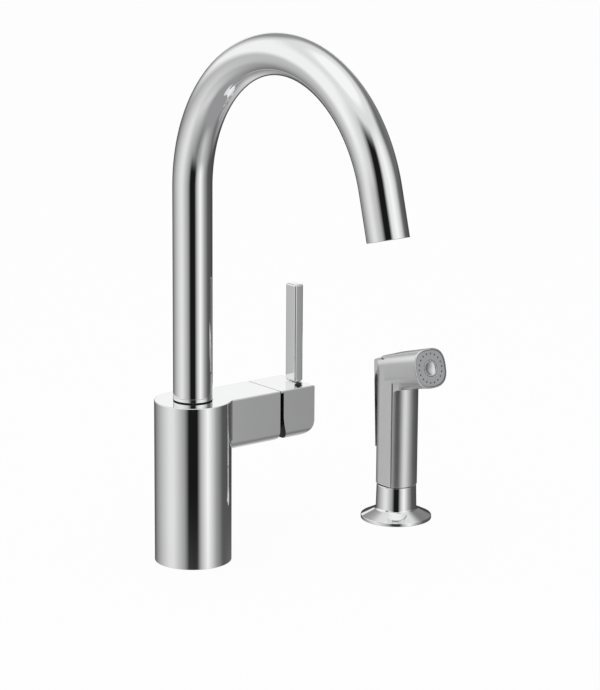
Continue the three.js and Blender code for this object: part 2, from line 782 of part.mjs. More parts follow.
const hubX0 = HUB_START_X - TILT_X;
const hubX1 = HUB_END_X - TILT_X;
const hubTop = BODY_H - ARM_AXIS_Z;
const hubBottom = -ARM_HEIGHT / 2;
const leverX = hubX1 - LEVER_THICKNESS / 2;
const studBottom = hubTop - LEVER_STUD_DEPTH;
const screwX = SET_SCREW_X - TILT_X;
const screwSeat = STEM_FLAT + GAP;
const plugEnd = hubTop / Math.cos(SET_SCREW_TILT);

// The hub seen along Y: its lower inner edge curves away so that it can swing in.
function hubProfile() {
  const shape = new THREE.Shape();
  shape.moveTo(hubX0 + HUB_NOTCH, hubBottom);
  shape.lineTo(hubX1 - HUB_OUTER_RADIUS, hubBottom);
  shape.absarc(
    hubX1 - HUB_OUTER_RADIUS,
    hubBottom + HUB_OUTER_RADIUS,
    HUB_OUTER_RADIUS,
    -Math.PI / 2,
    0,
    false,
  );
  shape.lineTo(hubX1, hubTop - HUB_TOP_RADIUS);
  shape.absarc(hubX1 - HUB_TOP_RADIUS, hubTop - HUB_TOP_RADIUS, HUB_TOP_RADIUS, 0, Math.PI / 2, false);
  shape.lineTo(hubX0, hubTop);
  shape.lineTo(hubX0, hubBottom + HUB_NOTCH_TOP);
  shape.quadraticCurveTo(
    hubX0,
    hubBottom + HUB_NOTCH_TOP * 0.55,
    hubX0 + HUB_NOTCH,
    hubBottom,
  );
  return shape;
}

// The set screw's line: from the stem's axis up and forward, out through the hub's top.
function alongScrew(geometry) {
  return solid(moved(geometry.rotateX(SET_SCREW_TILT), screwX, 0, 0));
}

function handleHub() {
  const side = solid(prism(hubProfile(), "y", -ARM_DEPTH / 2, ARM_DEPTH / 2));
  const section = solid(moved(prism(armSection, "x", hubX0 - 1, hubX1 + 1), 0, 0, -ARM_AXIS_Z));
  const pocket = solid(new THREE.SphereGeometry(pivotR + 0.8, 20, 12));
  const stemHalf = [STEM_WIDTH / 2 + GAP, STEM_HEIGHT / 2 + GAP];
  const socket = solid(
    block(0, STEM_END_X - TILT_X + GAP, -stemHalf[0], stemHalf[0], -stemHalf[1], stemHalf[1]),
  );
  const stud = solid(moved(rod(LEVER_STUD_D + 2 * GAP, studBottom - GAP, hubTop + 1), leverX, 0, 0));
  const screwBore = alongScrew(rod(SET_SCREW_D + 2 * GAP, 0, plugEnd + SET_SCREW_D));
  return cut(side.intersect(section), pocket, socket, stud, screwBore);
}

function lever() {
  const x0 = leverX - LEVER_THICKNESS / 2;
  const x1 = leverX + LEVER_THICKNESS / 2;
  const bottom = hubTop + GAP;
  const top = LEVER_TOP_Z - ARM_AXIS_Z;
  const half = LEVER_WIDTH / 2;
  const bar = roundedRectangle(x0, x1, -half, half, Array(4).fill(LEVER_EDGE));
  const inset = LEVER_FOOT_BEVEL;
  const sole = roundedRectangle(x0 + inset, x1 - inset, inset - half, half - inset, [0, 0, 0, 0]);
  // The foot is bevelled all round, down to a smaller sole on the hub.
  const body = wasm.Manifold.hull([
    solid(prism(bar, "z", bottom + inset, top, 3)),
    solid(prism(sole, "z", bottom, bottom + inset)),
  ]);
  const stud = solid(moved(rod(LEVER_STUD_D, studBottom, bottom + 1, 24), leverX, 0, 0));
  return join(body, stud);
}

function setScrew() {
  const top = screwSeat + SET_SCREW_L;
  const key = prism(hexagon(SET_SCREW_SOCKET), "z", top - SET_SCREW_SOCKET, top + 1);
  return cut(solid(rod(SET_SCREW_D, screwSeat, top)), solid(key));
}

// The plug that closes the screw's bore; its round end stands a little above the hub.
function setScrewPlug() {
  const r = SET_SCREW_D / 2;
  const steps = 4;
  const profile = [[0, plugEnd - PLUG_L], [r, plugEnd - PLUG_L]];
  for (let i = 0; i <= steps; i++) {
    const a = (i / steps) * (Math.PI / 2);
    profile.push([i < steps ? r * Math.cos(a) : 0, plugEnd + r * Math.sin(a)]);
  }
  return turned(profile, FINE);
}

piece(handle, "handle_hub", chrome, handleHub());
piece(handle, "handle_lever", chrome, lever());
for (const made of [
  piece(handle, "hub_set_screw", steel, setScrew()),
  piece(handle, "set_screw_plug", blackPlastic, setScrewPlug()),
]) {
  made.position.x = screwX;
  made.rotation.x = SET_SCREW_TILT;
}

// ---------------------------------------------------------------- spray holder in the deck

function sprayHolder() {
  const r = HOLDER_FLANGE_D / 2;
  const outer = solid(
    turned([
      [0, 0],
      [r - 0.4, 0],
      [r, 0.5],
      [r, HOLDER_RIM_H - 0.4],
      [r - 0.4, HOLDER_RIM_H],
      [HOLDER_FOOT_D / 2, HOLDER_CONE_TOP_Z],
      [HOLDER_COLLAR_D / 2, HOLDER_CONE_TOP_Z + 1.2],
      [HOLDER_MOUTH_D / 2, HOLDER_TOP_Z - 0.4],
      [HOLDER_MOUTH_D / 2 - 0.4, HOLDER_TOP_Z],
      [0, HOLDER_TOP_Z],
    ]),
  );
  const bore = solid(rod(HOLDER_BORE_D, -1, HOLDER_TOP_Z + 1));
  const socket = solid(rod(HOLDER_SHANK_D + 2 * GAP, -1, HOLDER_SHANK_SOCKET));
  const recess = solid(ring(HOLDER_FLANGE_D - 6, HOLDER_SHANK_D - 2, -1, GASKET_H * 0.5));
  return cut(outer, bore, socket, recess);
}

const holderNutTop = -DECK_THICKNESS - WASHER_H - GAP;
const holderFit = HOLDER_SHANK_D + 2 * GAP;
const sleeveD = HOLDER_BORE_D - 2 * GAP;

function guideSleeve() {
  const [outer, inner] = [sleeveD / 2, SLEEVE_BORE_D / 2];
  return turned(
    [
      [inner, SLEEVE_BOTTOM_Z],
      [outer, SLEEVE_BOTTOM_Z],
      [outer, HOLDER_TOP_Z - GAP],
      [inner + 0.6, HOLDER_TOP_Z - GAP],
      [inner, HOLDER_TOP_Z - 1],
      [inner, SLEEVE_BOTTOM_Z],
    ],
    FINE,
  );
}

piece(spray, "spray_holder", chrome, sprayHolder());
piece(
  spray,
  "spray_holder_shank",
  whitePlastic,
  ring(HOLDER_SHANK_D, HOLDER_SHANK_BORE_D, HOLDER_SHANK_BOTTOM_Z, HOLDER_SHANK_SOCKET - GAP),
);
piece(spray, "spray_guide_sleeve", blackPlastic, guideSleeve());
piece(
  spray,
  "spray_base_gasket",
  blackRubber,
  ring(HOLDER_FLANGE_D - 6 - 2 * GAP, holderFit, 0, GASKET_H * 0.5 - GAP),
);
piece(
  spray,
  "spray_mounting_washer",
  steel,
  ring(HOLDER_FLANGE_D - 8, holderFit, -DECK_THICKNESS - WASHER_H, -DECK_THICKNESS),
);
piece(
  spray,
  "spray_mounting_nut",
  whitePlastic,
  nut(HOLDER_NUT_ACROSS_FLATS, HOLDER_NUT_H, holderFit, holderNutTop),
);

// ---------------------------------------------------------------- spray hose coupling

const couplingTop = SPIGOT_BOTTOM_Z - GAP;

function couplingNut() {
  const bottom = couplingTop - COUPLING_H;
  const lip = couplingTop - COUPLING_LIP;
  return cut(
    solid(rod(COUPLING_D, bottom, couplingTop, 24)),
    solid(rod(STUB_FLANGE_D + 2 * GAP, bottom - 1, lip)),
    solid(rod(STUB_D + 2 * GAP, lip - 1, couplingTop + 1)),
  );
}

// The end of the hose swivels in the nut: a flanged stub with a barbed tail.
function hoseStub() {
  const [bore, neck, flange] = [STUB_BORE_D / 2, STUB_D / 2, STUB_FLANGE_D / 2];
  const [root, barb] = [BARB_ROOT_D / 2, BARB_D / 2];
  const flangeTop = couplingTop - COUPLING_LIP - GAP;
  const flangeBottom = flangeTop - STUB_FLANGE_H;
  const tailTop = couplingTop - COUPLING_H;
  const bottom = tailTop - BARB_TAIL_H;
  const profile = [[bore, bottom], [root, bottom]];
  for (let i = 0; i < BARB_COUNT; i++) {
    const edge = bottom + 2.6 + i * BARB_PITCH;
    profile.push([barb, edge], [root, edge + 0.2]);
  }
  profile.push(
    [neck, tailTop],
    [neck, flangeBottom],
    [flange, flangeBottom],
    [flange, flangeTop],
    [neck, flangeTop],
    [neck, flangeTop + STUB_END_H],
    [bore, flangeTop + STUB_END_H],
    [bore, bottom],
  );
  return turned(profile, COARSE);
}

piece(spray, "hose_coupling_nut", brass, couplingNut());
piece(spray, "hose_end_stub", brass, hoseStub());

// ---------------------------------------------------------------- spray head frame

// Takes a geometry drawn in the head's frame into the spray's frame, for the cuts between them.
head.updateMatrix();
const fromHead = (geometry) => solid(geometry.applyMatrix4(head.matrix));

// The head's barrel: a rounded square that grows slightly towards the face.
function barrel(grow, from, to) {
  const shape = squircle(HEAD_WIDTH + 2 * grow, HEAD_FACE_HEIGHT + 2 * grow, HEAD_SQUARENESS);
  const geometry = prism(shape, "z", from, to);
  const position = geometry.getAttribute("position");
  const full = HEAD_REACH + HEAD_BACK;
  for (let i = 0; i < position.count; i++) {
    const back = THREE.MathUtils.clamp((HEAD_REACH - position.getZ(i)) / full, 0, 1);
    const height = THREE.MathUtils.lerp(1, HEAD_BACK_HEIGHT / HEAD_FACE_HEIGHT, back);
    const width = THREE.MathUtils.lerp(1, (2 * SHELL_HALF) / HEAD_WIDTH, back);
    position.setX(i, position.getX(i) * width);
    position.setY(i, position.getY(i) * height);
  }
  return geometry;
}

const plateD = HEAD_WIDTH - 2 * HEAD_RIM_WALL;
const plateH = HEAD_FACE_HEIGHT - 2 * HEAD_RIM_WALL;

// ---------------------------------------------------------------- spray shell

const shellInnerX = SHELL_HALF - SHELL_WALL;
const shellInnerBack = SHELL_BACK_Y - SHELL_WALL;
const slotHalf = TRIGGER_WIDTH / 2 + GAP;

// A rod across the spray on the trigger's hinge line.
function acrossHinge(diameter, length) {
  const made = rod(diameter, -length / 2, length / 2).rotateY(Math.PI / 2);
  return solid(moved(made, 0, TRIGGER_PIN_Y, TRIGGER_PIN_Z));
}

const triggerPinHole = () => acrossHinge(TRIGGER_PIN_D + 2 * GAP, 60);

function sprayShell() {
  const plan = roundedRectangle(-SHELL_HALF, SHELL_HALF, SHELL_SEAM_Y, SHELL_BACK_Y, [
    0.8,
    0.8,
    SHELL_CORNER,
    SHELL_CORNER,
  ]);
  const spine = solid(prism(plan, "z", GRIP_BASE_Z, HEAD_AXIS_Z, 8));
  const cavity = solid(
    block(-shellInnerX, shellInnerX, SHELL_SEAM_Y - 5, shellInnerBack, GRIP_BASE_Z - 1, HEAD_AXIS_Z),
  );
  // The back corners are round inside as well, so that the wall keeps its thickness.
  const innerPlan = roundedRectangle(-shellInnerX, shellInnerX, SHELL_SEAM_Y - 5, shellInnerBack, [
    0,
    0,
    SHELL_CORNER - SHELL_WALL,
    SHELL_CORNER - SHELL_WALL,
  ]);
  const hollow = solid(prism(innerPlan, "z", GRIP_BASE_Z - 1, HEAD_AXIS_Z, 8)).intersect(cavity);
  const tube = fromHead(barrel(0, -HEAD_BACK, HEAD_REACH));

  // The cheeks turn up into the head with a round inner corner.
  const cornerZ = HEAD_AXIS_Z - SHELL_SEAM_Y * Math.tan(HEAD_TILT) - HEAD_BACK_HEIGHT / 2 + 1.5;
  const web = new THREE.Shape();
  web.moveTo(SHELL_SEAM_Y + 2, cornerZ - SHELL_INNER_RADIUS);
  web.lineTo(SHELL_SEAM_Y + 2, cornerZ + 6);
  web.lineTo(SHELL_SEAM_Y - SHELL_INNER_RADIUS, cornerZ + 6);
  web.lineTo(SHELL_SEAM_Y - SHELL_INNER_RADIUS, cornerZ);
  web.absarc(
    SHELL_SEAM_Y - SHELL_INNER_RADIUS,
    cornerZ - SHELL_INNER_RADIUS,
    SHELL_INNER_RADIUS,
    Math.PI / 2,
    0,
    true,
  );
  const cheeks = cut(
    solid(prism(web, "x", -SHELL_HALF, SHELL_HALF, 8)),
    solid(rod(COLUMN_D + 2 * GAP, 60, cornerZ + 7, SMOOTH)),
    solid(block(-shellInnerX, shellInnerX, -30, 30, 60, cornerZ + 7)),
  );

  // Seen from the side, the top of the back is rounded off, and the barrel rises clear of that.
  const side = new THREE.Shape();
  side.moveTo(-60, 0);
  side.lineTo(SHELL_BACK_Y, 0);
  side.absarc(
    SHELL_BACK_Y - HEAD_BACK_RADIUS,
    HEAD_BACK_TOP_Z - HEAD_BACK_RADIUS,
    HEAD_BACK_RADIUS,
    0,
    Math.PI / 2,
    false,
  );
  side.lineTo(-60, 150);
  const outline = solid(prism(side, "x", -30, 30)).intersect(
    solid(prism(plan, "z", 0, 160)).add(solid(block(-30, 30, -60, 0, 0, 160))),
  );
  const openBack = solid(
    block(
      -slotHalf,
      slotHalf,
      TRIGGER_PIN_Y - 5.5,
      30,
      TRIGGER_BOTTOM_Z - 2 * GAP,
      TRIGGER_CROWN_Z + 10.5,
    ),
  );
  const chamber = fromHead(rod(HEAD_CHAMBER_D, 4, HEAD_REACH - FACE_PLATE_H));
  const rebate = fromHead(
    prism(
      squircle(plateD + 2 * GAP, plateH + 2 * GAP, HEAD_SQUARENESS),
      "z",
      HEAD_REACH - FACE_PLATE_H - GAP,
      HEAD_REACH + 1,
    ),
  );
  const inlet = solid(rod(11, 90, HEAD_AXIS_Z, 24));
  const rounded = join(cut(spine, hollow), tube).intersect(outline);
  return cut(join(rounded, cheeks), openBack, triggerPinHole(), chamber, rebate, inlet);
}

piece(spray, "spray_shell", satinChrome, sprayShell());

// ---------------------------------------------------------------- spray grip

const coreX = shellInnerX - GAP;
const columnSeam = SHELL_SEAM_Y - GAP;

function sprayGrip() {
  const column = solid(rod(COLUMN_D, GRIP_BASE_Z, HEAD_AXIS_Z, SMOOTH)).intersect(
    solid(block(-SHELL_HALF, SHELL_HALF, -30, columnSeam, 0, 200)),
  );
  const core = solid(block(-coreX, coreX, columnSeam - 1, CORE_BACK_Y, GRIP_BASE_Z, HEAD_AXIS_Z));
  const foot = solid(
    prism(
      roundedRectangle(-coreX, coreX, columnSeam - 1, shellInnerBack - GAP, [
        0,
        0,
        SHELL_CORNER - SHELL_WALL,
        SHELL_CORNER - SHELL_WALL,
      ]),
      "z",
      GRIP_BASE_Z,
      GRIP_BASE_Z + GRIP_FOOT_H,
      8,
    ),
  );
  const spigot = solid(
    turned(
      [
        [0, SPIGOT_BOTTOM_Z],
        [SPIGOT_D / 2 - 0.6, SPIGOT_BOTTOM_Z],
        [SPIGOT_D / 2, SPIGOT_BOTTOM_Z + 0.6],
        [SPIGOT_D / 2, GRIP_BASE_Z + 1],
        [0, GRIP_BASE_Z + 1],
      ],
      FINE,
    ),
  );
  const underHead = fromHead(barrel(GAP, -HEAD_BACK - 20, HEAD_REACH));
  const riser = solid(rod(10, 90, 108, 24));
  const outer = join(cut(join(column, core, foot), underHead), spigot, riser);
  const valveBore = solid(
    moved(rod(VALVE_BORE_D, VALVE_FLOOR_Y, 20, 24).rotateX(-Math.PI / 2), 0, 0, VALVE_Z),
  );
  return cut(outer, solid(rod(GRIP_WATERWAY_D, 0, 120, 24)), valveBore);
}

piece(spray, "spray_grip", satinChrome, sprayGrip());

// ---------------------------------------------------------------- spray face, in the head's frame

const plateBack = HEAD_REACH - FACE_PLATE_H;

function facePlate() {
  const outline = squircle(plateD, plateH, HEAD_SQUARENESS);
  const plate = solid(prism(outline, "z", plateBack, HEAD_REACH - FACE_PLATE_SETBACK));
  const holes = [];
  for (let i = 0; i < NOZZLE_COUNT; i++) {
    const a = (i / NOZZLE_COUNT) * Math.PI * 2;
    const hole = rod(NOZZLE_D, plateBack - 1, HEAD_REACH + 1, 6);
    holes.push(solid(moved(hole, (Math.cos(a) * FACE_RING_D) / 2, (Math.sin(a) * FACE_RING_D) / 2, 0)));
  }
  const seat = solid(rod(DISH_D + 2 * GAP, HEAD_REACH - DISH_FLANGE_H, HEAD_REACH + 1));
  const stem = solid(rod(DISH_STEM_D + 2 * GAP, plateBack - 1, HEAD_REACH + 1, 20));
  return cut(plate, ...holes, seat, stem);
}

// The dished button that holds the face plate, with its screw stem behind.
function faceButton() {
  const rim = HEAD_REACH;
  const r = DISH_D / 2;
  const profile = [
    [0, plateBack - DISH_STEM_L],
    [DISH_STEM_D / 2, plateBack - DISH_STEM_L],
    [DISH_STEM_D / 2, rim - DISH_FLANGE_H + GAP],
    [r, rim - DISH_FLANGE_H + GAP],
    [r, rim],
    [r - DISH_LIP, rim],
  ];
  for (let i = 1; i <= 5; i++) {
    const a = (i / 5) * (Math.PI / 2);
    profile.push([(r - DISH_LIP) * Math.cos(a), rim - DISH_DEPTH * Math.sin(a)]);
  }
  return turned(profile, FINE);
}

function faceSeal() {
  const outer = HEAD_CHAMBER_D - 2 * GAP;
  const top = plateBack - GAP;
  return ring(outer, outer - 2 * FACE_SEAL_W, top - FACE_SEAL_H, top);
}

// The spoked block in the head that the button screws into.
function headManifold() {
  const back = MANIFOLD_BACK_Z;
  const front = plateBack - GAP - MANIFOLD_GAP;
  const outer = solid(rod(HEAD_CHAMBER_D - 2 * GAP, back, front));
  const passages = [];
  for (let i = 0; i < PASSAGE_COUNT; i++) {
    const a = ((i + 0.5) / PASSAGE_COUNT) * Math.PI * 2;
    const passage = rod(PASSAGE_D, back - 1, front + 1, 8);
    passages.push(
      solid(moved(passage, PASSAGE_RADIUS * Math.cos(a), PASSAGE_RADIUS * Math.sin(a), 0)),
    );
  }
  const socket = solid(rod(DISH_STEM_D + 2 * GAP, plateBack - DISH_STEM_L - GAP, front + 1));
  return cut(outer, socket, ...passages);
}

piece(head, "spray_face_plate", greyPlastic, facePlate());
piece(head, "spray_face_button", chrome, faceButton());
piece(head, "spray_face_seal", blackRubber, faceSeal());
piece(head, "spray_head_manifold", whitePlastic, headManifold());

// ---------------------------------------------------------------- spray trigger and its valve

const triggerSlope = (TRIGGER_TOP_Y - TRIGGER_BOTTOM_Y) / (TRIGGER_CROWN_Z - TRIGGER_BOTTOM_Z);

function sprayTrigger() {
  const top = TRIGGER_CROWN_Z + 8.6;
  const innerTop = TRIGGER_TOP_Y - TRIGGER_THICKNESS;
  const side = new THREE.Shape();
  side.moveTo(TRIGGER_BOTTOM_Y - TRIGGER_THICKNESS, TRIGGER_BOTTOM_Z + 1);
  side.lineTo(TRIGGER_BOTTOM_Y - 1.2, TRIGGER_BOTTOM_Z);
  side.lineTo(TRIGGER_BOTTOM_Y, TRIGGER_BOTTOM_Z + 1);
  side.lineTo(TRIGGER_TOP_Y, TRIGGER_CROWN_Z);
  side.quadraticCurveTo(TRIGGER_TOP_Y + 0.2, TRIGGER_CROWN_Z + 6.5, TRIGGER_PIN_Y + 4, top);
  side.lineTo(TRIGGER_PIN_Y - 2, top + 1.4);
  side.lineTo(TRIGGER_PIN_Y - 2, TRIGGER_PIN_Z + 3);
  side.lineTo(innerTop - 2, TRIGGER_PIN_Z + 1);
  side.lineTo(innerTop - 0.2, TRIGGER_PIN_Z - 6);
  const half = TRIGGER_WIDTH / 2;
  // Its back is as round as the shell's, and slopes with the plate.
  const round = roundedRectangle(-SHELL_HALF, SHELL_HALF, -40, TRIGGER_BOTTOM_Y, [
    0,
    0,
    SHELL_CORNER,
    SHELL_CORNER,
  ]);
  const back = prism(round, "z", -20, 90).rotateX(-Math.atan(triggerSlope));
  const plate = solid(prism(side, "x", -half, half)).intersect(
    solid(moved(back, 0, 0, TRIGGER_BOTTOM_Z)),
  );
  return cut(join(plate, acrossHinge(TRIGGER_BOSS_D, TRIGGER_WIDTH)), triggerPinHole());
}

const pinLength = 2 * SHELL_HALF - 3;
piece(spray, "spray_trigger", satinChrome, sprayTrigger());
piece(spray, "trigger_pin", steel, acrossHinge(TRIGGER_PIN_D, pinLength));

// The plunger's tail stops short of the trigger, which slopes back as it rises.
const triggerInnerY =
  TRIGGER_BOTTOM_Y - TRIGGER_THICKNESS + (VALVE_Z - TRIGGER_BOTTOM_Z) * triggerSlope;
const plungerTail = triggerInnerY - GAP - 0.1;
const glandBack = CORE_BACK_Y;
const glandFront = glandBack - VALVE_GLAND_H;

const valveRow = new THREE.Group(); // its +Z runs towards the trigger
valveRow.position.set(0, 0, VALVE_Z);
valveRow.rotation.x = -Math.PI / 2;
spray.add(valveRow);

function valvePlunger() {
  return turned(
    [
      [0, PLUNGER_HEAD_Y - PLUNGER_HEAD_H],
      [PLUNGER_HEAD_D / 2, PLUNGER_HEAD_Y - PLUNGER_HEAD_H],
      [PLUNGER_HEAD_D / 2, PLUNGER_HEAD_Y],
      [PLUNGER_D / 2, PLUNGER_HEAD_Y],
      [PLUNGER_D / 2, plungerTail - 0.6],
      [PLUNGER_D / 2 - 0.6, plungerTail],
      [0, plungerTail],
    ],
    24,
  );
}

class Coil extends THREE.Curve {
  constructor(radius, from, to, turns) {
    super();
    Object.assign(this, { radius, from, to, turns });
  }
  getPoint(t, target = new THREE.Vector3()) {
    const a = t * this.turns * Math.PI * 2;
    const z = THREE.MathUtils.lerp(this.from, this.to, t);
    return target.set(this.radius * Math.cos(a), this.radius * Math.sin(a), z);
  }
}

function valveSpring() {
  const floor = VALVE_FLOOR_Y + GAP + SPRING_WIRE_D / 2;
  const top = PLUNGER_HEAD_Y - PLUNGER_HEAD_H - GAP - SPRING_WIRE_D / 2;
  const coil = new Coil(SPRING_COIL_D / 2, floor, top, SPRING_TURNS);
  return new THREE.ExtrudeGeometry(new THREE.Shape(circlePoints(SPRING_WIRE_D, 6)), {
    steps: SPRING_TURNS * SPRING_STEPS,
    extrudePath: coil,
    bevelEnabled: false,
  });
}

piece(valveRow, "valve_plunger", steel, valvePlunger());
piece(
  valveRow,
  "valve_gland",
  brass,
  ring(VALVE_BORE_D - 2 * GAP, PLUNGER_D + 2 * GAP, glandFront, glandBack, 24),
);
piece(valveRow, "valve_spring", steel, valveSpring());

export default faucet;
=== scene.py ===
"""The looks of a single-handle kitchen faucet and its side spray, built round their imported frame."""

import json
from math import acos, atan2, cos, pi, radians, sin, sqrt, tan

import bmesh
import bpy
from bpy.props import FloatProperty, FloatVectorProperty, IntProperty, PointerProperty
from mathutils import Matrix, Vector

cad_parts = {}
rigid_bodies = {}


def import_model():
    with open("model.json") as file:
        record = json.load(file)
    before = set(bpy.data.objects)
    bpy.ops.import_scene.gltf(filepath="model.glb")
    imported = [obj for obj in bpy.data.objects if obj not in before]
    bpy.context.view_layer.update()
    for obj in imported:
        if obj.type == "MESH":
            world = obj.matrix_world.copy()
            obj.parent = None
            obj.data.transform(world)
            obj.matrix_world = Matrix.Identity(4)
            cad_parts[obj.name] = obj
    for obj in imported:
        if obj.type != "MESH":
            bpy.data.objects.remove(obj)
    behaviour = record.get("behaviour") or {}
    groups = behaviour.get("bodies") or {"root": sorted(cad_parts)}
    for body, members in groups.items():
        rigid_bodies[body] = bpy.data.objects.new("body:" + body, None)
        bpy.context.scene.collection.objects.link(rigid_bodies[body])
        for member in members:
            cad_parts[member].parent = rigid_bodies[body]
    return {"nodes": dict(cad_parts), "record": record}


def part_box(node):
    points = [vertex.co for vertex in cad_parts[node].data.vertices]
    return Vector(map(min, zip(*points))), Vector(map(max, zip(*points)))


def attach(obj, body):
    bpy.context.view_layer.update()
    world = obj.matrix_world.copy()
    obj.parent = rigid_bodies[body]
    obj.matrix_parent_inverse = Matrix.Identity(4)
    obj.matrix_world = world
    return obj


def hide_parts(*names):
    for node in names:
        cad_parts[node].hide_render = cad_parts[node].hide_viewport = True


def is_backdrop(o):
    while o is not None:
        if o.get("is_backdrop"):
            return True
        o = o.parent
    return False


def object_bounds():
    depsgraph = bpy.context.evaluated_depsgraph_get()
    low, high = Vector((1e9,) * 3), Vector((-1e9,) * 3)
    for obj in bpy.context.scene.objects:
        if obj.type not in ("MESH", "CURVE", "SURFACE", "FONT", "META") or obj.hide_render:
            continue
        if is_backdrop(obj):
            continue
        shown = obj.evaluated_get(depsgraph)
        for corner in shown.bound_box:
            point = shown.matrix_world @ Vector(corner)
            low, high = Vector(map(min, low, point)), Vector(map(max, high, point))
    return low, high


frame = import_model()
CAD_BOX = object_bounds()

bl_info = {
    "name": "Faucet and side spray",
    "version": (1, 0, 0),
    "blender": (4, 5, 0),
    "location": "3D View > Sidebar > Faucet",
    "description": "Models the faucet, its side spray and the studio they stand in",
    "category": "Add Mesh",
}

# Shapes are worked on in millimetres, far above the tools' own tolerances, and scaled when done.
MM = 0.001
GAP = 0.3
ORIGIN = (0.0, 0.0, 0.0)
RECORD = frame["record"]
SLOT_OF = {part["node"]: part["material_slot"] for part in RECORD["subparts"]}
BODY_OF = {n: b for b, ns in RECORD["behaviour"]["bodies"].items() for n in ns}


def box_mm(name):
    """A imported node's lowest and highest corner, in millimetres."""
    low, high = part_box(name)
    return low / MM, high / MM


BODY_LOW, BODY_HIGH = box_mm("body_housing")
HUB_LOW, HUB_HIGH = box_mm("handle_hub")
LEVER_LOW, LEVER_HIGH = box_mm("handle_lever")
TRIGGER_LOW, _ = box_mm("spray_trigger")
TUBE_LOW, TUBE_HIGH = box_mm("spout_tube")

# Hollows in the body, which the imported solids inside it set: how wide, and where they begin or end.
SPOUT_BORE, SPOUT_BORE_FLOOR = 29.2, 82
BASE_CAVITY, BASE_CAVITY_TOP = 47, 40
SHANK_SOCKET, SHANK_SOCKET_TOP = 33, 52
VALVE_BORES = ((30.6, 22), (33.6, 53))
STEM_SOCKET_END, STEM_SOCKET_DEPTH, STEM_SOCKET_HEIGHT = 91.3, 7.6, 8.6
DOME_FOOT_X = 62.7
# The handset's lower end, the rim round its face, and the width and the hinge of its trigger.
GRIP_BASE = 26.8
FACE_RIM, FACE_THICKNESS = 1.4, 3
TRIGGER_WIDTH = 21.0
HINGE_Y, HINGE_Z, HINGE_BORE = 8.5, 112.0, 3.6


# ---- sizes and colours


def length(name, value, text, least=0.0):
    how = {} if least is None else {"min": least}
    return FloatProperty(name=name, description=text, default=value * MM, unit="LENGTH", **how)


def angle(name, value, text):
    return FloatProperty(name=name, description=text, default=radians(value), subtype="ANGLE")


def tint(name, value, text):
    how = {"default": value, "subtype": "COLOR", "min": 0, "max": 1}
    return FloatVectorProperty(name=name, description=text, **how)


class FaucetBodySizes(bpy.types.PropertyGroup):
    """The body casting and its arm."""

    diameter: length("Body diameter", -2 * BODY_LOW.x, "Across the round body")
    height: length("Body height", BODY_HIGH.z, "From the deck to the top of body and arm")
    edge: length("Body edge", 0.6, "Radius of the body's top edge")
    arm_depth: length("Arm depth", 38.5, "Front to back of the arm and the hub")
    arm_height: length("Arm height", 37.2, "Top to bottom of the arm and the hub")
    arm_end: length("Arm end", BODY_HIGH.x, "From the body's centre to the end of the arm")
    lower_round: length("Lower round", 8, "Radius of the arm's and the hub's lower edges")
    upper_round: length("Upper round", 0.8, "Radius of the arm's and the hub's upper edges")
    arm_easing: length("Arm easing", 3, "Radius under the end of the arm")
    web: length("Web", 3, "Radius where the arm blends into the body")


class FaucetSpoutSizes(bpy.types.PropertyGroup):
    """The bent tube."""

    diameter: length("Tube diameter", 28, "Across the spout tube")
    wall: length("Tube wall", 1.6, "Thickness of the tube")
    foot: length("Tube foot", TUBE_LOW.z, "Height of the tube's lower end")
    bend_start: length("Bend start", TUBE_HIGH.z - 116.5, "Height where the riser starts to bend")
    bend_radius: length("Bend radius", 102.5, "Radius of the arch's centre line")
    sweep: angle("Sweep", 165.15, "How far the arch turns")
    tail: length("Tail", 32.3, "Straight length after the arch")


class FaucetHandleSizes(bpy.types.PropertyGroup):
    """The hub, the lever and the small parts in them."""

    tilt_x: length("Tilt axis", 70, "From the body's centre to the axis that the handle tilts on")
    hub_outer_round: length("Hub outer round", 12, "Radius of the hub's outer lower edge")
    hub_top_round: length("Hub top round", 1.4, "Radius of the hub's outer top edge")
    hub_lip: length("Hub lip", 2.6, "How far the hub's top reaches over the gap to the arm")
    lip_thickness: length("Lip thickness", 1.6, "Top to bottom of that lip")
    hub_notch: length("Hub notch", 4.2, "How far the hub's inner lower edge is cut back")
    hub_notch_top: length("Notch height", 19.6, "How high the cut-back reaches")
    lever_edge: length("Lever edge", 1.3, "Radius of the lever's long edges")
    lever_foot: length("Lever foot", 1.2, "Bevel round the lever's foot")
    stud_diameter: length("Stud diameter", 6, "Across the lever's stud")
    dome_diameter: length("Dome diameter", 27, "Across the cartridge's round cap")
    screw_diameter: length("Screw diameter", 4.4, "Across the set screw and its plug")
    screw_x: length("Screw place", 85.7, "From the body's centre to the set screw")
    screw_tilt: angle("Screw tilt", 33, "How far the set screw leans to the front")


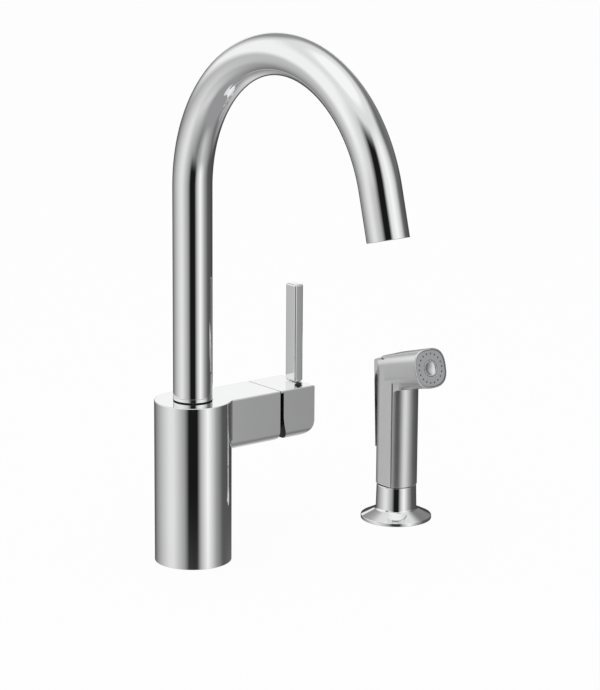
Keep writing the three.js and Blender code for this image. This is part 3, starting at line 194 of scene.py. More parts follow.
class FaucetSpraySizes(bpy.types.PropertyGroup):
    """The side spray, its holder and its face."""

    x: length("Spray place", 182.2, "From the faucet's centre to the spray's")
    y: length("Spray offset", -10.5, "How far behind the body it stands, or in front if under 0", None)
    flange_diameter: length("Flange diameter", 53.2, "Across the holder's flange")
    column_diameter: length("Column diameter", 30.8, "Across the round front of the grip")
    half_width: length("Half width", 13, "From the middle to either cheek")
    back: length("Back", 14.2, "From the spray's centre to its back")
    seam: length("Seam", 8, "From the spray's centre to the seam in front")
    seam_gap: length("Seam gap", 0.8, "Between the grip and the cheeks")
    corner: length("Corner", 9, "Radius of the back's upright corners")
    wall: length("Wall", 2.4, "Thickness of the shell")
    cheek_round: length("Cheek round", 8.5, "Radius where a cheek turns up into the head")
    head_width: length("Head width", 30.2, "Across the spray's face")
    head_height: length("Head height", 29.6, "Top to bottom of the spray's face")
    head_back_height: length("Head back height", 27, "Top to bottom at the back of the head")
    head_reach: length("Head reach", 37.8, "From the head's centre to its face")
    head_back: length("Head back", 14, "From the head's centre to its back")
    head_axis: length("Head height above deck", 113.5, "Height of the head's centre")
    head_tilt: angle("Head tilt", 14, "How far the face looks up")
    nozzles: IntProperty(name="Nozzles", description="Holes in the spray face", default=18, min=3)
    nozzle_ring: length("Nozzle ring", 21.7, "Across the ring of nozzles")
    nozzle: length("Nozzle", 1.3, "Across one nozzle")
    dish: length("Dish", 12, "Across the dished button")


class FaucetColours(bpy.types.PropertyGroup):
    """What each finish is made of."""

    chrome: tint("Chrome", (0.92, 0.922, 0.926), "Polished chrome on the castings and the tube")
    plated: tint("Plated plastic", (0.86, 0.862, 0.868), "Soft bright plating on the spray")
    # Brass is also the base of the darkened brass that paints shade on the cartridge's ring nut.
    brass: tint("Brass", (0.62, 0.44, 0.20), "Turned brass under the deck")
    copper: tint("Copper", (0.72, 0.36, 0.23), "Drawn copper tube")
    steel: tint("Steel", (0.50, 0.50, 0.51), "Plain steel")
    rubber: tint("Rubber", (0.012, 0.012, 0.013), "Seals and gaskets")
    # Black plastic also paints shade: the hub's inner faces and the glide ring's groove.
    black: tint("Black plastic", (0.010, 0.010, 0.011), "Dome, sleeve and plug")
    white: tint("White plastic", (0.78, 0.78, 0.76), "Shank, nuts and valve bodies")
    grey: tint("Grey plastic", (0.37, 0.375, 0.385), "The spray's face")


class FaucetStudio(bpy.types.PropertyGroup):
    """The light and the floor."""

    floor_size: length("Floor size", 9000, "Across the floor")
    fill: FloatProperty(name="Fill", description="Plain light from all round", default=0.8, min=0)
    lamp: FloatProperty(
        name="Lamp", description="Power of the soft lamp", default=9, min=0, subtype="POWER"
    )


def sizes(group):
    """The scene's own values of one group of sizes, lengths in millimetres."""
    values = getattr(bpy.context.scene, group)
    found = {}
    for name, prop in values.bl_rna.properties.items():
        if name in ("rna_type", "name"):
            continue
        value = getattr(values, name)
        found[name] = value / MM if getattr(prop, "unit", "") == "LENGTH" else value
    return type("Sizes", (), found)


# ---- modelling


def at_rest():
    """Back in object mode with nothing selected."""
    if bpy.context.mode != "OBJECT":
        bpy.ops.object.mode_set(mode="OBJECT")
    bpy.ops.object.select_all(action="DESELECT")


def alone(piece):
    """Selects the piece and nothing else."""
    at_rest()
    piece.select_set(True)
    bpy.context.view_layer.objects.active = piece


def set_place():
    """Moves the selected piece's place, turn and size into its mesh."""
    bpy.ops.object.transform_apply(location=True, rotation=True, scale=True)


def start(name, primitive, **how):
    """A primitive on its own, at its size and place."""
    at_rest()
    primitive(**how)
    piece = bpy.context.object
    piece.name = piece.data.name = name
    set_place()
    return piece


def block(name, x0, x1, y0, y1, z0, z1):
    piece = start(name, bpy.ops.mesh.primitive_cube_add, size=1)
    piece.scale = (x1 - x0, y1 - y0, z1 - z0)
    piece.location = ((x0 + x1) / 2, (y0 + y1) / 2, (z0 + z1) / 2)
    set_place()
    return piece


def rod(name, diameter, z0, z1, sides=96, x=0.0, y=0.0):
    how = {"vertices": sides, "radius": diameter / 2, "depth": z1 - z0}
    add = bpy.ops.mesh.primitive_cylinder_add
    return start(name, add, location=(x, y, (z0 + z1) / 2), **how)


def edit(piece):
    """The piece alone, in edit mode with all of it selected."""
    alone(piece)
    bpy.ops.object.mode_set(mode="EDIT")
    bpy.ops.mesh.select_mode(type="VERT")
    bpy.ops.mesh.select_all(action="SELECT")


def modify(piece, kind, **settings):
    """Adds a modifier with its settings and applies it."""
    alone(piece)
    modifier = piece.modifiers.new(kind.lower(), kind)
    for name, value in settings.items():
        setattr(modifier, name, value)
    bpy.ops.object.modifier_apply(modifier=modifier.name)
    return piece


MODES = {"verts": "VERT", "edges": "EDGE"}


def pick(piece, what, test):
    """Selects the vertices or edges that pass the test, and leaves edit mode on."""
    edit(piece)
    bpy.ops.mesh.select_mode(type=MODES[what])
    bpy.ops.mesh.select_all(action="DESELECT")
    shape = bmesh.from_edit_mesh(piece.data)
    found = [part for part in getattr(shape, what) if test(part)]
    if not found:
        raise RuntimeError(f"nothing to select on {piece.name}")
    for part in found:
        part.select_set(True)
    shape.select_flush_mode()
    bmesh.update_edit_mesh(piece.data)


def middle(edge):
    return sum((v.co for v in edge.verts), Vector()) / 2


def along(edge, axis):
    """True where an edge runs along an axis."""
    a, b = (v.co for v in edge.verts)
    way = (b - a).normalized()
    return abs(way[axis]) > 0.999


def near(value, target):
    return abs(value - target) < 0.02


def edges(axis=None, **places):
    """A test for edges that run along an axis and whose middle is at the given places."""

    def test(edge):
        spot = middle(edge)
        there = all(near(getattr(spot, name), place) for name, place in places.items())
        return there and (axis is None or along(edge, axis))

    return test


def bevel(piece, offset, segments, test, profile=0.5):
    """Rounds the edges that pass the test."""
    pick(piece, "edges", test)
    bpy.ops.mesh.bevel(offset=offset, segments=segments, profile=profile, affect="EDGES")
    bpy.ops.object.mode_set(mode="OBJECT")


def laid(axis, x=0.0, y=0.0, z=0.0, swing=pi / 2):
    """A place with its upright axis swung about another one."""
    return Matrix.Translation((x, y, z)) @ Matrix.Rotation(swing, 4, axis)


def combine(piece, tool, operation):
    """Joins the piece with a tool, cuts the tool from it, or keeps what they share."""
    modify(piece, "BOOLEAN", operation=operation, solver="MANIFOLD", object=tool)
    bpy.data.objects.remove(tool)
    edit(piece)
    bpy.ops.mesh.remove_doubles(threshold=0.002)
    bpy.ops.mesh.dissolve_degenerate(threshold=0.002)
    bpy.ops.object.mode_set(mode="OBJECT")
    return piece


def join(piece, *tools):
    for tool in tools:
        combine(piece, tool, "UNION")
    return piece


def cut(piece, *tools):
    for tool in tools:
        combine(piece, tool, "DIFFERENCE")
    return piece


def soften(piece, width, segments, sharp):
    """A small round on every sharp edge, which is where metal catches the light."""
    how = {"limit_method": "ANGLE", "angle_limit": radians(sharp), "width": width}
    how |= {"segments": segments, "miter_outer": "MITER_ARC"}
    return modify(piece, "BEVEL", use_clamp_overlap=True, loop_slide=True, **how)


def turn(piece, matrix):
    """Puts a piece that was drawn about the origin into its place."""
    alone(piece)
    piece.matrix_world = matrix
    set_place()
    return piece


def tidy(piece):
    """Closes seams and poles and turns the faces outwards."""
    edit(piece)
    bpy.ops.mesh.remove_doubles(threshold=0.001)
    bpy.ops.mesh.normals_make_consistent(inside=False)
    bpy.ops.object.mode_set(mode="OBJECT")
    return piece


def strand(name, points):
    """A line of edges from point to point, in edit mode with all of it selected."""
    piece = start(name, bpy.ops.mesh.primitive_plane_add, size=1)
    edit(piece)
    bpy.ops.mesh.merge(type="CENTER")
    bpy.ops.transform.translate(value=points[0])
    for before, after in zip(points, points[1:]):
        step = tuple(b - a for a, b in zip(before, after))
        bpy.ops.mesh.extrude_vertices_move(TRANSFORM_OT_translate={"value": step})
    bpy.ops.mesh.select_all(action="SELECT")
    return piece


def rounded(points, steps=4):
    """A profile of (radius, height, round) with an arc in place of each rounded corner."""
    made = []
    count = len(points)
    for i, (r, z, *rest) in enumerate(points):
        here = Vector((r, z))
        size = rest[0] if rest else 0
        if not size:
            made.append((r, z))
            continue
        before = (Vector(points[i - 1][:2]) - here).normalized()
        after = (Vector(points[(i + 1) % count][:2]) - here).normalized()
        half = acos(max(-1, min(1, before.dot(after)))) / 2
        centre = here + (before + after).normalized() * (size / sin(half))
        first = here + before * (size / tan(half)) - centre
        last = here + after * (size / tan(half)) - centre
        swing = first.angle_signed(last)
        for k in range(steps + 1):
            spoke = first.copy()
            spoke.rotate(Matrix.Rotation(-swing * k / steps, 2))
            made.append(tuple(centre + spoke))
    return made


def turned(name, points, steps=96, arc=4):
    """A closed profile of (radius, height, round) spun about the upright axis."""
    profile = rounded(points, arc)
    if profile[0][0] > 1e-4 or profile[-1][0] > 1e-4:
        profile.append(profile[0])
    piece = strand(name, [(r, 0, z) for r, z in profile])
    bpy.ops.mesh.spin(steps=steps, angle=2 * pi, center=ORIGIN, axis=(0, 0, 1))
    return tidy(piece)


def ring(name, outer, inner, z0, z1, edge):
    a, b = outer / 2, inner / 2
    return turned(name, [(b, z0, edge), (a, z0, edge), (a, z1, edge), (b, z1, edge)], 72, 2)


def plate(name, points, thickness):
    """A flat outline drawn point by point, filled, and pulled out to a thickness."""
    piece = strand(name, points)
    bpy.ops.mesh.edge_face_add()
    bpy.ops.mesh.extrude_region_move(TRANSFORM_OT_translate={"value": thickness})
    return tidy(piece)


def soft_square(name, width, height, z0, z1):
    """A block whose outline is a superellipse, as the spray's head is."""
    power = 2.7
    piece = block(name, -width / 2, width / 2, -width / 2, width / 2, z0, z1)
    bevel(piece, width / 2 * 0.9995, 14, edges(2), 2 ** (-2 / power))
    return turn(piece, Matrix.Diagonal((1, height / width, 1, 1)))


def settle(piece, node, sharp=32, material=None):
    """Gives a modelled piece its real size, its smooth faces, its finish and its CAD node's body, and
    hides that node.
    """
    alone(piece)
    piece.scale = (MM, MM, MM)
    set_place()
    bpy.ops.object.shade_smooth_by_angle(angle=radians(sharp))
    modify(piece, "WEIGHTED_NORMAL", keep_sharp=True)
    piece.data.materials.clear()
    piece.data.materials.append(material or finish_of(node))
    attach(piece, BODY_OF[node])
    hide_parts(node)
    return piece


def paint_shade_black(piece, test):
    """Gives the faces that pass the test the black finish, as painted shade in a gap or groove."""
    piece.data.materials.append(FINISHES["black_plastic"])
    for face in piece.data.polygons:
        face.material_index = int(test(face))


# ---- shader sums


class Wire:
    """An output socket. Sums on it add Math nodes to its tree."""

    def __init__(self, tree, socket):
        self.tree, self.socket = tree, socket

    def of(self, name):
        """Another output of the same node."""
        return Wire(self.tree, self.socket.node.outputs[name])

    def __add__(self, other):
        return calc("ADD", self, other)

    __radd__ = __add__

    def __sub__(self, other):
        return calc("SUBTRACT", self, other)

    def __rsub__(self, other):
        return calc("SUBTRACT", other, self)

    def __mul__(self, other):
        return calc("MULTIPLY", self, other)

    __rmul__ = __mul__

    def __truediv__(self, other):
        return calc("DIVIDE", self, other)


def calc(operation, *terms):
    """A Math node on wires and numbers."""
    tree = next(term.tree for term in terms if isinstance(term, Wire))
    return node(tree, "ShaderNodeMath", {"operation": operation}, dict(enumerate(terms)))


def node(tree, kind, settings=None, sockets=None, output=0):
    """A node with its settings made first and then its sockets, as its output's wire."""
    made = tree.nodes.new(kind)
    for name, value in (settings or {}).items():
        if name == "stops":
            ramp = made.color_ramp
            while len(ramp.elements) < len(value):
                ramp.elements.new(0.5)
            for element, (place, level) in zip(ramp.elements, value):
                element.position = place
                element.color = (level, level, level, 1)
        else:
            setattr(made, name, value)
    for name, value in (sockets or {}).items():
        if isinstance(value, Wire):
            tree.links.new(value.socket, made.inputs[name])
        else:
            made.inputs[name].default_value = value
    outputs = made.outputs
    return Wire(tree, outputs[output]) if len(outputs) else made


def blank(name):
    """A new material with an empty tree."""
    material = bpy.data.materials.new(name)
    material.use_nodes = True
    material.node_tree.nodes.clear()
    return material, material.node_tree


def place(tree):
    """The point on the piece, in metres from the middle of the body's foot."""
    return node(tree, "ShaderNodeTexCoord", output="Object")


def noise(tree, point, scale, detail=2.0, rough=0.5):
    """Cloudy values between 0 and 1."""
    settings = {"noise_dimensions": "3D"}
    values = {"Vector": point, "Scale": scale, "Detail": detail, "Roughness": rough}
    return node(tree, "ShaderNodeTexNoise", settings, values, "Fac")


def blend(tree, amount, first, second):
    """A colour between two others, each of them a colour or a wire."""
    made = tree.nodes.new("ShaderNodeMix")
    made.data_type = "RGBA"
    colours = [socket for socket in made.inputs if socket.type == "RGBA"]
    for socket, colour in zip(colours, (first, second)):
        if isinstance(colour, Wire):
            tree.links.new(colour.socket, socket)
        else:
            socket.default_value = (*colour, 1)
    tree.links.new(amount.socket, made.inputs["Factor"])
    return Wire(tree, next(s for s in made.outputs if s.type == "RGBA"))


def ease(tree, value, start_at, width):
    """0 below a value and 1 beyond its width, with a soft change between."""
    settings = {"interpolation_type": "SMOOTHSTEP"}
    share = (value - start_at) / width
    return node(tree, "ShaderNodeMapRange", settings, {"Value": share}, "Result")


def finish(name, colour, tones, metallic, cloud, gloss, relief=None):
    """A material whose tone, gloss and relief vary over the piece.

    The clouds' size and detail come first, and the tones say how far they darken and lighten the
    colour. The gloss and the relief are worked out from the point and the clouds.
    """
    material, tree = blank(name)
    point = place(tree)
    clouds = noise(tree, point, *cloud)
    darker, lighter = (tuple(min(1.0, c * tone) for c in colour) for tone in tones)
    sockets = {"Base Color": blend(tree, clouds, darker, lighter), "Metallic": metallic}
    sockets["Roughness"] = gloss(tree, point, clouds)
    if relief:
        height, strength, distance = relief(tree, point)
        bump = {"Height": height, "Strength": strength, "Distance": distance}
        sockets["Normal"] = node(tree, "ShaderNodeBump", None, bump, "Normal")
    surface = node(tree, "ShaderNodeBsdfPrincipled", None, sockets, "BSDF")
    node(tree, "ShaderNodeOutputMaterial", None, {"Surface": surface})
    return material


def polished(name, colour, low, high):
    """Bright plating: faint clouds in its tone and in its gloss."""

    def gloss(tree, point, clouds):
        return low + (high - low) * (clouds * 0.6 + noise(tree, point, 420, 2) * 0.4)

    return finish(name, colour, (0.975, 1.01), 1.0, (38, 3), gloss)


def plated_plastic(name, colour):
    """Plating on moulded plastic: softer than the castings, with a very faint peel."""

    def gloss(tree, point, clouds):
        return 0.27 + 0.05 * clouds

    def peel(tree, point):
        return noise(tree, point, 900, 2), 0.04, 0.0002

    return finish(name, colour, (0.97, 1.02), 1.0, (60, 3), gloss, peel)


def with_thread(tree, point, height, pitch, strength):
    """A relief, with a screw's teeth up the axis where it has a pitch."""
    if not pitch:
        return height, strength, 0.0002
    z = node(tree, "ShaderNodeSeparateXYZ", None, {"Vector": point}, "Z")
    return height + calc("PINGPONG", z / pitch, 0.5) * 2.0, 0.6, 0.0008


def machined(name, colour, roughness, pitch=0.0):
    """Cut metal with fine turning marks round its axis."""

    def gloss(tree, point, clouds):
        return roughness - 0.08 + 0.16 * clouds

    def marks(tree, point):
        stretch = {"Vector": point, "Scale": (40, 40, 4000)}
        lines = noise(tree, node(tree, "ShaderNodeMapping", None, stretch), 1, 2)
        return with_thread(tree, point, lines * 0.15, pitch, 0.12)

    return finish(name, colour, (0.82, 1.08), 1.0, (90, 4), gloss, marks)


def moulded(name, colour, roughness, pitch=0.0):
    """Moulded plastic or rubber with a fine grain."""
    grain = (1500, 3, 0.6)

    def gloss(tree, point, clouds):
        return roughness - 0.06 + 0.12 * noise(tree, point, *grain)

    def pores(tree, point):
        return with_thread(tree, point, noise(tree, point, *grain) * 0.2, pitch, 0.25)

    return finish(name, colour, (0.86, 1.1), 0.0, (70, 4), gloss, pores)


def build_finishes():
    """One material for each finish, kept by the record's slot names."""
    colours = bpy.context.scene.faucet_colours
    c = {name: tuple(getattr(colours, name)) for name in FaucetColours.__annotations__}
    # Brass darkened to a twentieth of its colour: painted shade for the ring nut deep in the gap
    # between arm and hub.
    brass_darkened_as_shade = tuple(level * 0.05 for level in c["brass"])
    return {
        "chrome": polished("polished_chrome", c["chrome"], 0.035, 0.06),
        "plated_plastic": plated_plastic("soft_plating", c["plated"]),
        "brass": machined("turned_brass", c["brass"], 0.32),
        "copper": machined("drawn_copper", c["copper"], 0.34),
        "steel": machined("plain_steel", c["steel"], 0.36),
        "rubber": moulded("gasket_rubber", c["rubber"], 0.7),
        "black_plastic": moulded("black_plastic", c["black"], 0.42),
        "white_plastic": moulded("white_plastic", c["white"], 0.4),
        "grey_plastic": moulded("face_plastic", c["grey"], 0.42),
        "oiled_brass": machined("oiled_brass", brass_darkened_as_shade, 0.5),
        "brass_thread": machined("threaded_brass", c["brass"], 0.34, 0.0015),
        "white_thread": moulded("threaded_plastic", c["white"], 0.42, 0.002),
    }


FINISHES = {}


def finish_of(name):
    return FINISHES[SLOT_OF[name]]


# ---- pieces


class PieceOperator(bpy.types.Operator):
    """What every operator here has in common."""

    bl_options = {"REGISTER", "UNDO"}


class FAUCET_OT_finishes(PieceOperator):
    """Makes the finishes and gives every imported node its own."""

    bl_idname = "faucet.finishes"
    bl_label = "Finishes"

    def execute(self, context):
        FINISHES.update(build_finishes())
        for name, piece in frame["nodes"].items():
            piece.data.materials.clear()
            piece.data.materials.append(finish_of(name))
        # The ring nut deep in the gap gets the darkened brass, as painted shade.
        frame["nodes"]["cartridge_ring_nut"].data.materials[0] = FINISHES["oiled_brass"]
        return {"FINISHED"}


def arm_block(name, x0, x1, b):
    """A length of the arm's section, with its long edges rounded."""
    half = b.arm_depth / 2
    low = b.height - b.arm_height
    piece = block(name, x0, x1, -half, half, low, b.height)
    bevel(piece, b.lower_round, 14, edges(0, z=low))
    bevel(piece, b.upper_round, 4, edges(0, z=b.height))
    return piece


class FAUCET_OT_body(PieceOperator):
    """Models the body casting with its arm, its webs and its bores."""

    bl_idname = "faucet.body"
    bl_label = "Body"

    def execute(self, context):
        b = sizes("faucet_body")
        r = b.diameter / 2
        body = rod("body", b.diameter, 0, b.height, 144)
        bevel(body, b.edge, 4, edges(z=b.height))
        bevel(body, b.edge / 2, 2, edges(z=0))
        arm = arm_block("arm", 0, b.arm_end, b)
        join(body, cut(arm, self.easing(b)))
        for side in (-1, 1):
            join(body, self.web(b, r, side))
        bore = rod("spout_bore", SPOUT_BORE, SPOUT_BORE_FLOOR, b.height + 5, 72)
        cavity = rod("base_cavity", BASE_CAVITY, -5, BASE_CAVITY_TOP, 72)
        socket = rod("shank_socket", SHANK_SOCKET, BASE_CAVITY_TOP - 1, SHANK_SOCKET_TOP, 72)
        cut(body, bore, cavity, socket)
        for diameter, start_x in VALVE_BORES:
            tool = rod("valve_bore", diameter, start_x, b.arm_end + 5, 72)
            cut(body, turn(tool, laid("Y", z=b.height - b.arm_height / 2)))
        settle(soften(body, 0.18, 2, 50), "body_housing", 40)
        return {"FINISHED"}

    def easing(self, b):
        """What is taken off the arm's end, below, so that the handle can swing in."""
        low = b.height - b.arm_height
        size = b.arm_easing
        tool = block("easing", b.arm_end - size, b.arm_end + 5, -30, 30, low - 5, low + size)
        rounder = rod("rounder", 2 * size, -40, 40, 96)
        return cut(tool, turn(rounder, laid("X", b.arm_end - size, 0, low + size)))

    def web(self, b, r, side):
        """The hollow round between the arm's flat side and the body."""
        centre_y = b.arm_depth / 2 + b.web
        centre_x = sqrt((r + b.web) ** 2 - centre_y**2)
        low = b.height - b.arm_height + b.lower_round
        touch_y = centre_y * r / (r + b.web)
        y0, y1 = sorted((side * (b.arm_depth / 2 - 2), side * touch_y))
        tool = block("web", centre_x - 6, centre_x, y0, y1, low, b.height)
        round_off = rod("round_off", 2 * b.web, low - 5, b.height + 5, 96, centre_x, side * centre_y)
        return cut(tool, round_off)


class FAUCET_OT_spout(PieceOperator):
    """Models the bent tube, its glide ring and the rim of its aerator."""

    bl_idname = "faucet.spout"
    bl_label = "Spout"

    def execute(self, context):
        s = sizes("faucet_spout")
        how = {"vertices": 80, "radius": s.diameter / 2, "fill_type": "NOTHING"}
        tube = start("spout", bpy.ops.mesh.primitive_circle_add, location=(0, 0, s.foot), **how)
        edit(tube)
        rise = (0, 0, s.bend_start - s.foot)
        bpy.ops.mesh.extrude_region_move(TRANSFORM_OT_translate={"value": rise})
        pivot = (0, -s.bend_radius, s.bend_start)
        bpy.ops.mesh.spin(steps=96, angle=-s.sweep, center=pivot, axis=(1, 0, 0))
        end = Vector((0, -sin(s.sweep), cos(s.sweep))) * s.tail
        bpy.ops.mesh.extrude_region_move(TRANSFORM_OT_translate={"value": tuple(end)})
        tidy(tube)
        modify(tube, "SOLIDIFY", thickness=s.wall, offset=-1)
        settle(soften(tube, 0.25, 3, 60), "spout_tube", 50)

        self.glide_ring(s)
        self.aerator(s)
        return {"FINISHED"}

    def glide_ring(self, s):
        """The ring that goes on from the tube down into the body, with a groove at its foot whose
        faces are painted black as shade.
        """
        low, high = box_mm("spout_glide_ring")
        r, inner = s.diameter / 2, s.diameter / 2 - s.wall
        skirt, groove = r + 0.55, r - 1
        sill, lip, top = BODY_HIGH.z - 0.05, BODY_HIGH.z + 0.8, high.z + 0.25
        points = [(inner, low.z, 0.2), (skirt, low.z, 0.1), (skirt, sill), (r, sill)]
        points += [(groove, sill), (groove, lip), (r, lip, 0.08), (r, top), (inner, top)]
        glide = settle(turned("glide_ring", points, 112), "spout_glide_ring", 40)

        # The groove's faces get the black finish: painted shade under the tube's foot.
        def deep(face):
            z = face.center.z / MM
            return face.center.xy.length < (r - 0.1) * MM and sill - 0.01 < z < lip + 0.01

        paint_shade_black(glide, deep)

    def aerator(self, s):
        """The rim in the outlet and the pierced disc in it."""
        a = s.sweep
        y = -s.bend_radius * (1 - cos(a)) - s.tail * sin(a)
        z = s.bend_start + s.bend_radius * sin(a) + s.tail * cos(a)
        outlet = laid("X", 0, y, z, a)
        r = s.diameter / 2 - s.wall - GAP
        wall, depth, recess, step = 2, -12.8, -0.8, -1.3
        points = [(r - wall, depth), (r, depth), (r, recess, 0.4), (r - 1.1, recess, 0.2)]
        points += [(r - 1.4, step, 0.2), (r - wall, step, 0.2)]
        settle(turn(turned("aerator_rim", points, 96, 3), outlet), "aerator_shell", 40)
        disc = rod("aerator_disc", 2 * (r - wall - GAP), -7.3, -2.3, 64)
        hole = 1.7
        for count, radius in ((1, 0), (5, 3.3), (10, 6.6)):
            for i in range(count):
                a = i * 2 * pi / count
                cut(disc, rod("hole", hole, -9, 0, 16, radius * cos(a), radius * sin(a)))
        settle(turn(soften(disc, 0.2, 2, 50), outlet), "aerator_insert", 40)


class FAUCET_OT_handle(PieceOperator):
    """Models the hub, the lever, the cartridge's dome and the set screw's plug."""

    bl_idname = "faucet.handle"
    bl_label = "Handle"

    def execute(self, context):
        b = sizes("faucet_body")
        h = sizes("faucet_handle")
        axis_z = b.height - b.arm_height / 2
        reach = (b.height - axis_z) / cos(h.screw_tilt)
        lean = laid("X", h.screw_x, 0, axis_z, h.screw_tilt)
        lever_x = (LEVER_LOW.x + LEVER_HIGH.x) / 2
        self.hub(b, h, axis_z, reach, lean, lever_x)
        self.lever(b, h, lever_x)
        r = h.screw_diameter / 2
        crown = [(r * cos(a), reach + r * sin(a)) for a in (radians(9 * k) for k in range(10))]
        plug = turned("screw_plug", [(0, reach - 7), (r, reach - 7, 0.3), *crown, (0, reach + r)], 48)
        settle(turn(plug, lean), "set_screw_plug")
        self.dome(h, axis_z)
        return {"FINISHED"}

    def hub(self, b, h, axis_z, reach, lean, lever_x):
        """The block on the end of the arm, hollow for the dome, the stem, the lever and the screw."""
        x0, x1 = HUB_LOW.x, HUB_HIGH.x
        low, half = b.height - b.arm_height, b.arm_depth / 2
        hub = arm_block("hub", x0 - 5, x1 + 5, b)
        side = block("hub_side", x0 - h.hub_lip, x1, -half - 5, half + 5, low, b.height)
        bevel(side, h.hub_outer_round, 20, edges(1, x=x1, z=low))
        bevel(side, h.hub_top_round, 6, edges(1, x=x1, z=b.height))
        combine(hub, side, "INTERSECT")
        cut(hub, block("below_lip", x0 - 5, x0, -30, 30, low - 5, b.height - h.lip_thickness))
        cut(hub, self.notch(h, x0, low))
        how = {"segments": 64, "ring_count": 32, "radius": h.dome_diameter / 2 + 0.8}
        spot = (h.tilt_x, 0, axis_z)
        cut(hub, start("pocket", bpy.ops.mesh.primitive_uv_sphere_add, location=spot, **how))
        deep, high = STEM_SOCKET_DEPTH / 2, STEM_SOCKET_HEIGHT / 2
        cut(hub, block("stem", h.tilt_x, STEM_SOCKET_END, -deep, deep, axis_z - high, axis_z + high))
        stud_bore, stud_foot = h.stud_diameter + 2 * GAP, LEVER_LOW.z - GAP
        cut(hub, rod("stud_bore", stud_bore, stud_foot, b.height + 5, 40, lever_x))
        cut(hub, turn(rod("screw_bore", h.screw_diameter + 2 * GAP, 6, reach + 5, 48), lean))
        settle(soften(hub, 0.22, 3, 35), "handle_hub", 40)
        # The hub's inner faces towards the arm get the black finish: painted shade in the gap.
        edge_x, edge_z = (x0 + h.hub_notch) * MM, (b.height - h.lip_thickness) * MM

        def inner(face):
            spot = face.center
            inward = face.normal.x < -0.2 and spot.x < edge_x and spot.z < edge_z
            return inward and face.area > 2 * MM * MM

        paint_shade_black(hub, inner)

    def notch(self, h, x0, low):
        """The curved cut that lets the hub's lower inner edge swing past the arm."""
        steps = 24
        top = h.hub_notch_top
        points = [(x0 - 5, low + top)]
        for k in range(steps + 1):
            share = k / steps
            x = h.hub_notch * share * share
            z = top * (1 - share) ** 2 + 2 * share * (1 - share) * top * 0.55
            points.append((x0 + x, low + z))
        points[-1] = (x0 + h.hub_notch, low)
        points += [(x0 + h.hub_notch, low - 5), (x0 - 5, low - 5)]
        return plate("notch", [(x, -30, z) for x, z in points], (0, 60, 0))

    def lever(self, b, h, lever_x):
        """A plain bar, eased along its edges, with a bevelled foot and a stud below."""
        x0, x1 = LEVER_LOW.x, LEVER_HIGH.x
        foot, top = b.height + GAP, LEVER_HIGH.z
        lever = block("lever", x0, x1, LEVER_LOW.y, LEVER_HIGH.y, foot, top)
        bevel(lever, h.lever_foot, 1, edges(z=foot))
        bevel(lever, h.lever_edge, 4, lambda e: along(e, 2) or near(middle(e).z, top))
        join(lever, rod("stud", h.stud_diameter, LEVER_LOW.z, foot + 2, 40, lever_x))
        settle(soften(lever, 0.12, 2, 35), "handle_lever", 40)

    def dome(self, h, axis_z):
        """The thin round cap over the cartridge, open where the stem comes out."""
        rim, steps = radians(45), 12

        def curve(r):
            """From the opening's rim to the foot, on a ball of this radius."""
            fall = acos((DOME_FOOT_X - h.tilt_x) / r) - rim
            turns = (rim + fall * k / steps for k in range(steps + 1))
            return [(r * sin(a), h.tilt_x + r * cos(a)) for a in turns]

        outer = h.dome_diameter / 2
        cap = turned("dome", [*reversed(curve(outer)), *curve(outer - 1.2)], 72)
        settle(turn(cap, laid("Y", z=axis_z)), "cartridge_dome")


def spray_place(s):
    return Matrix.Translation((s.x, s.y, 0))


def head_place(s):
    """The head's own frame, which looks out of the spray's face."""
    return laid("X", z=s.head_axis, swing=pi / 2 - s.head_tilt)


class FAUCET_OT_holder(PieceOperator):
    """Models the deck holder and the sleeve in it."""

    bl_idname = "faucet.holder"
    bl_label = "Spray holder"

    def execute(self, context):
        s = sizes("faucet_spray")
        r, bore, top = s.flange_diameter / 2, 12.5, 26.4
        points = [(bore, 0), (r, 0, 0.4), (r, 2.5, 0.6), (15.9, 7.7, 2.2), (15.35, 8.9, 0.6)]
        points += [(14.9, top, 0.5), (bore, top, 0.3)]
        holder = turned("holder", points, 128, 6)
        settle(turn(holder, spray_place(s)), "spray_holder", 36)
        inner, outer, low, high = 10.9, 12.2, -20, 26.1
        points = [(inner, low, 0.2), (outer, low, 0.3), (outer, high, 0.3)]
        points += [(outer - 0.7, high, 0.2), (inner, high - 0.7, 0.2)]
        sleeve = turned("sleeve", points, 72, 2)
        settle(turn(sleeve, spray_place(s)), "spray_guide_sleeve")
        return {"FINISHED"}


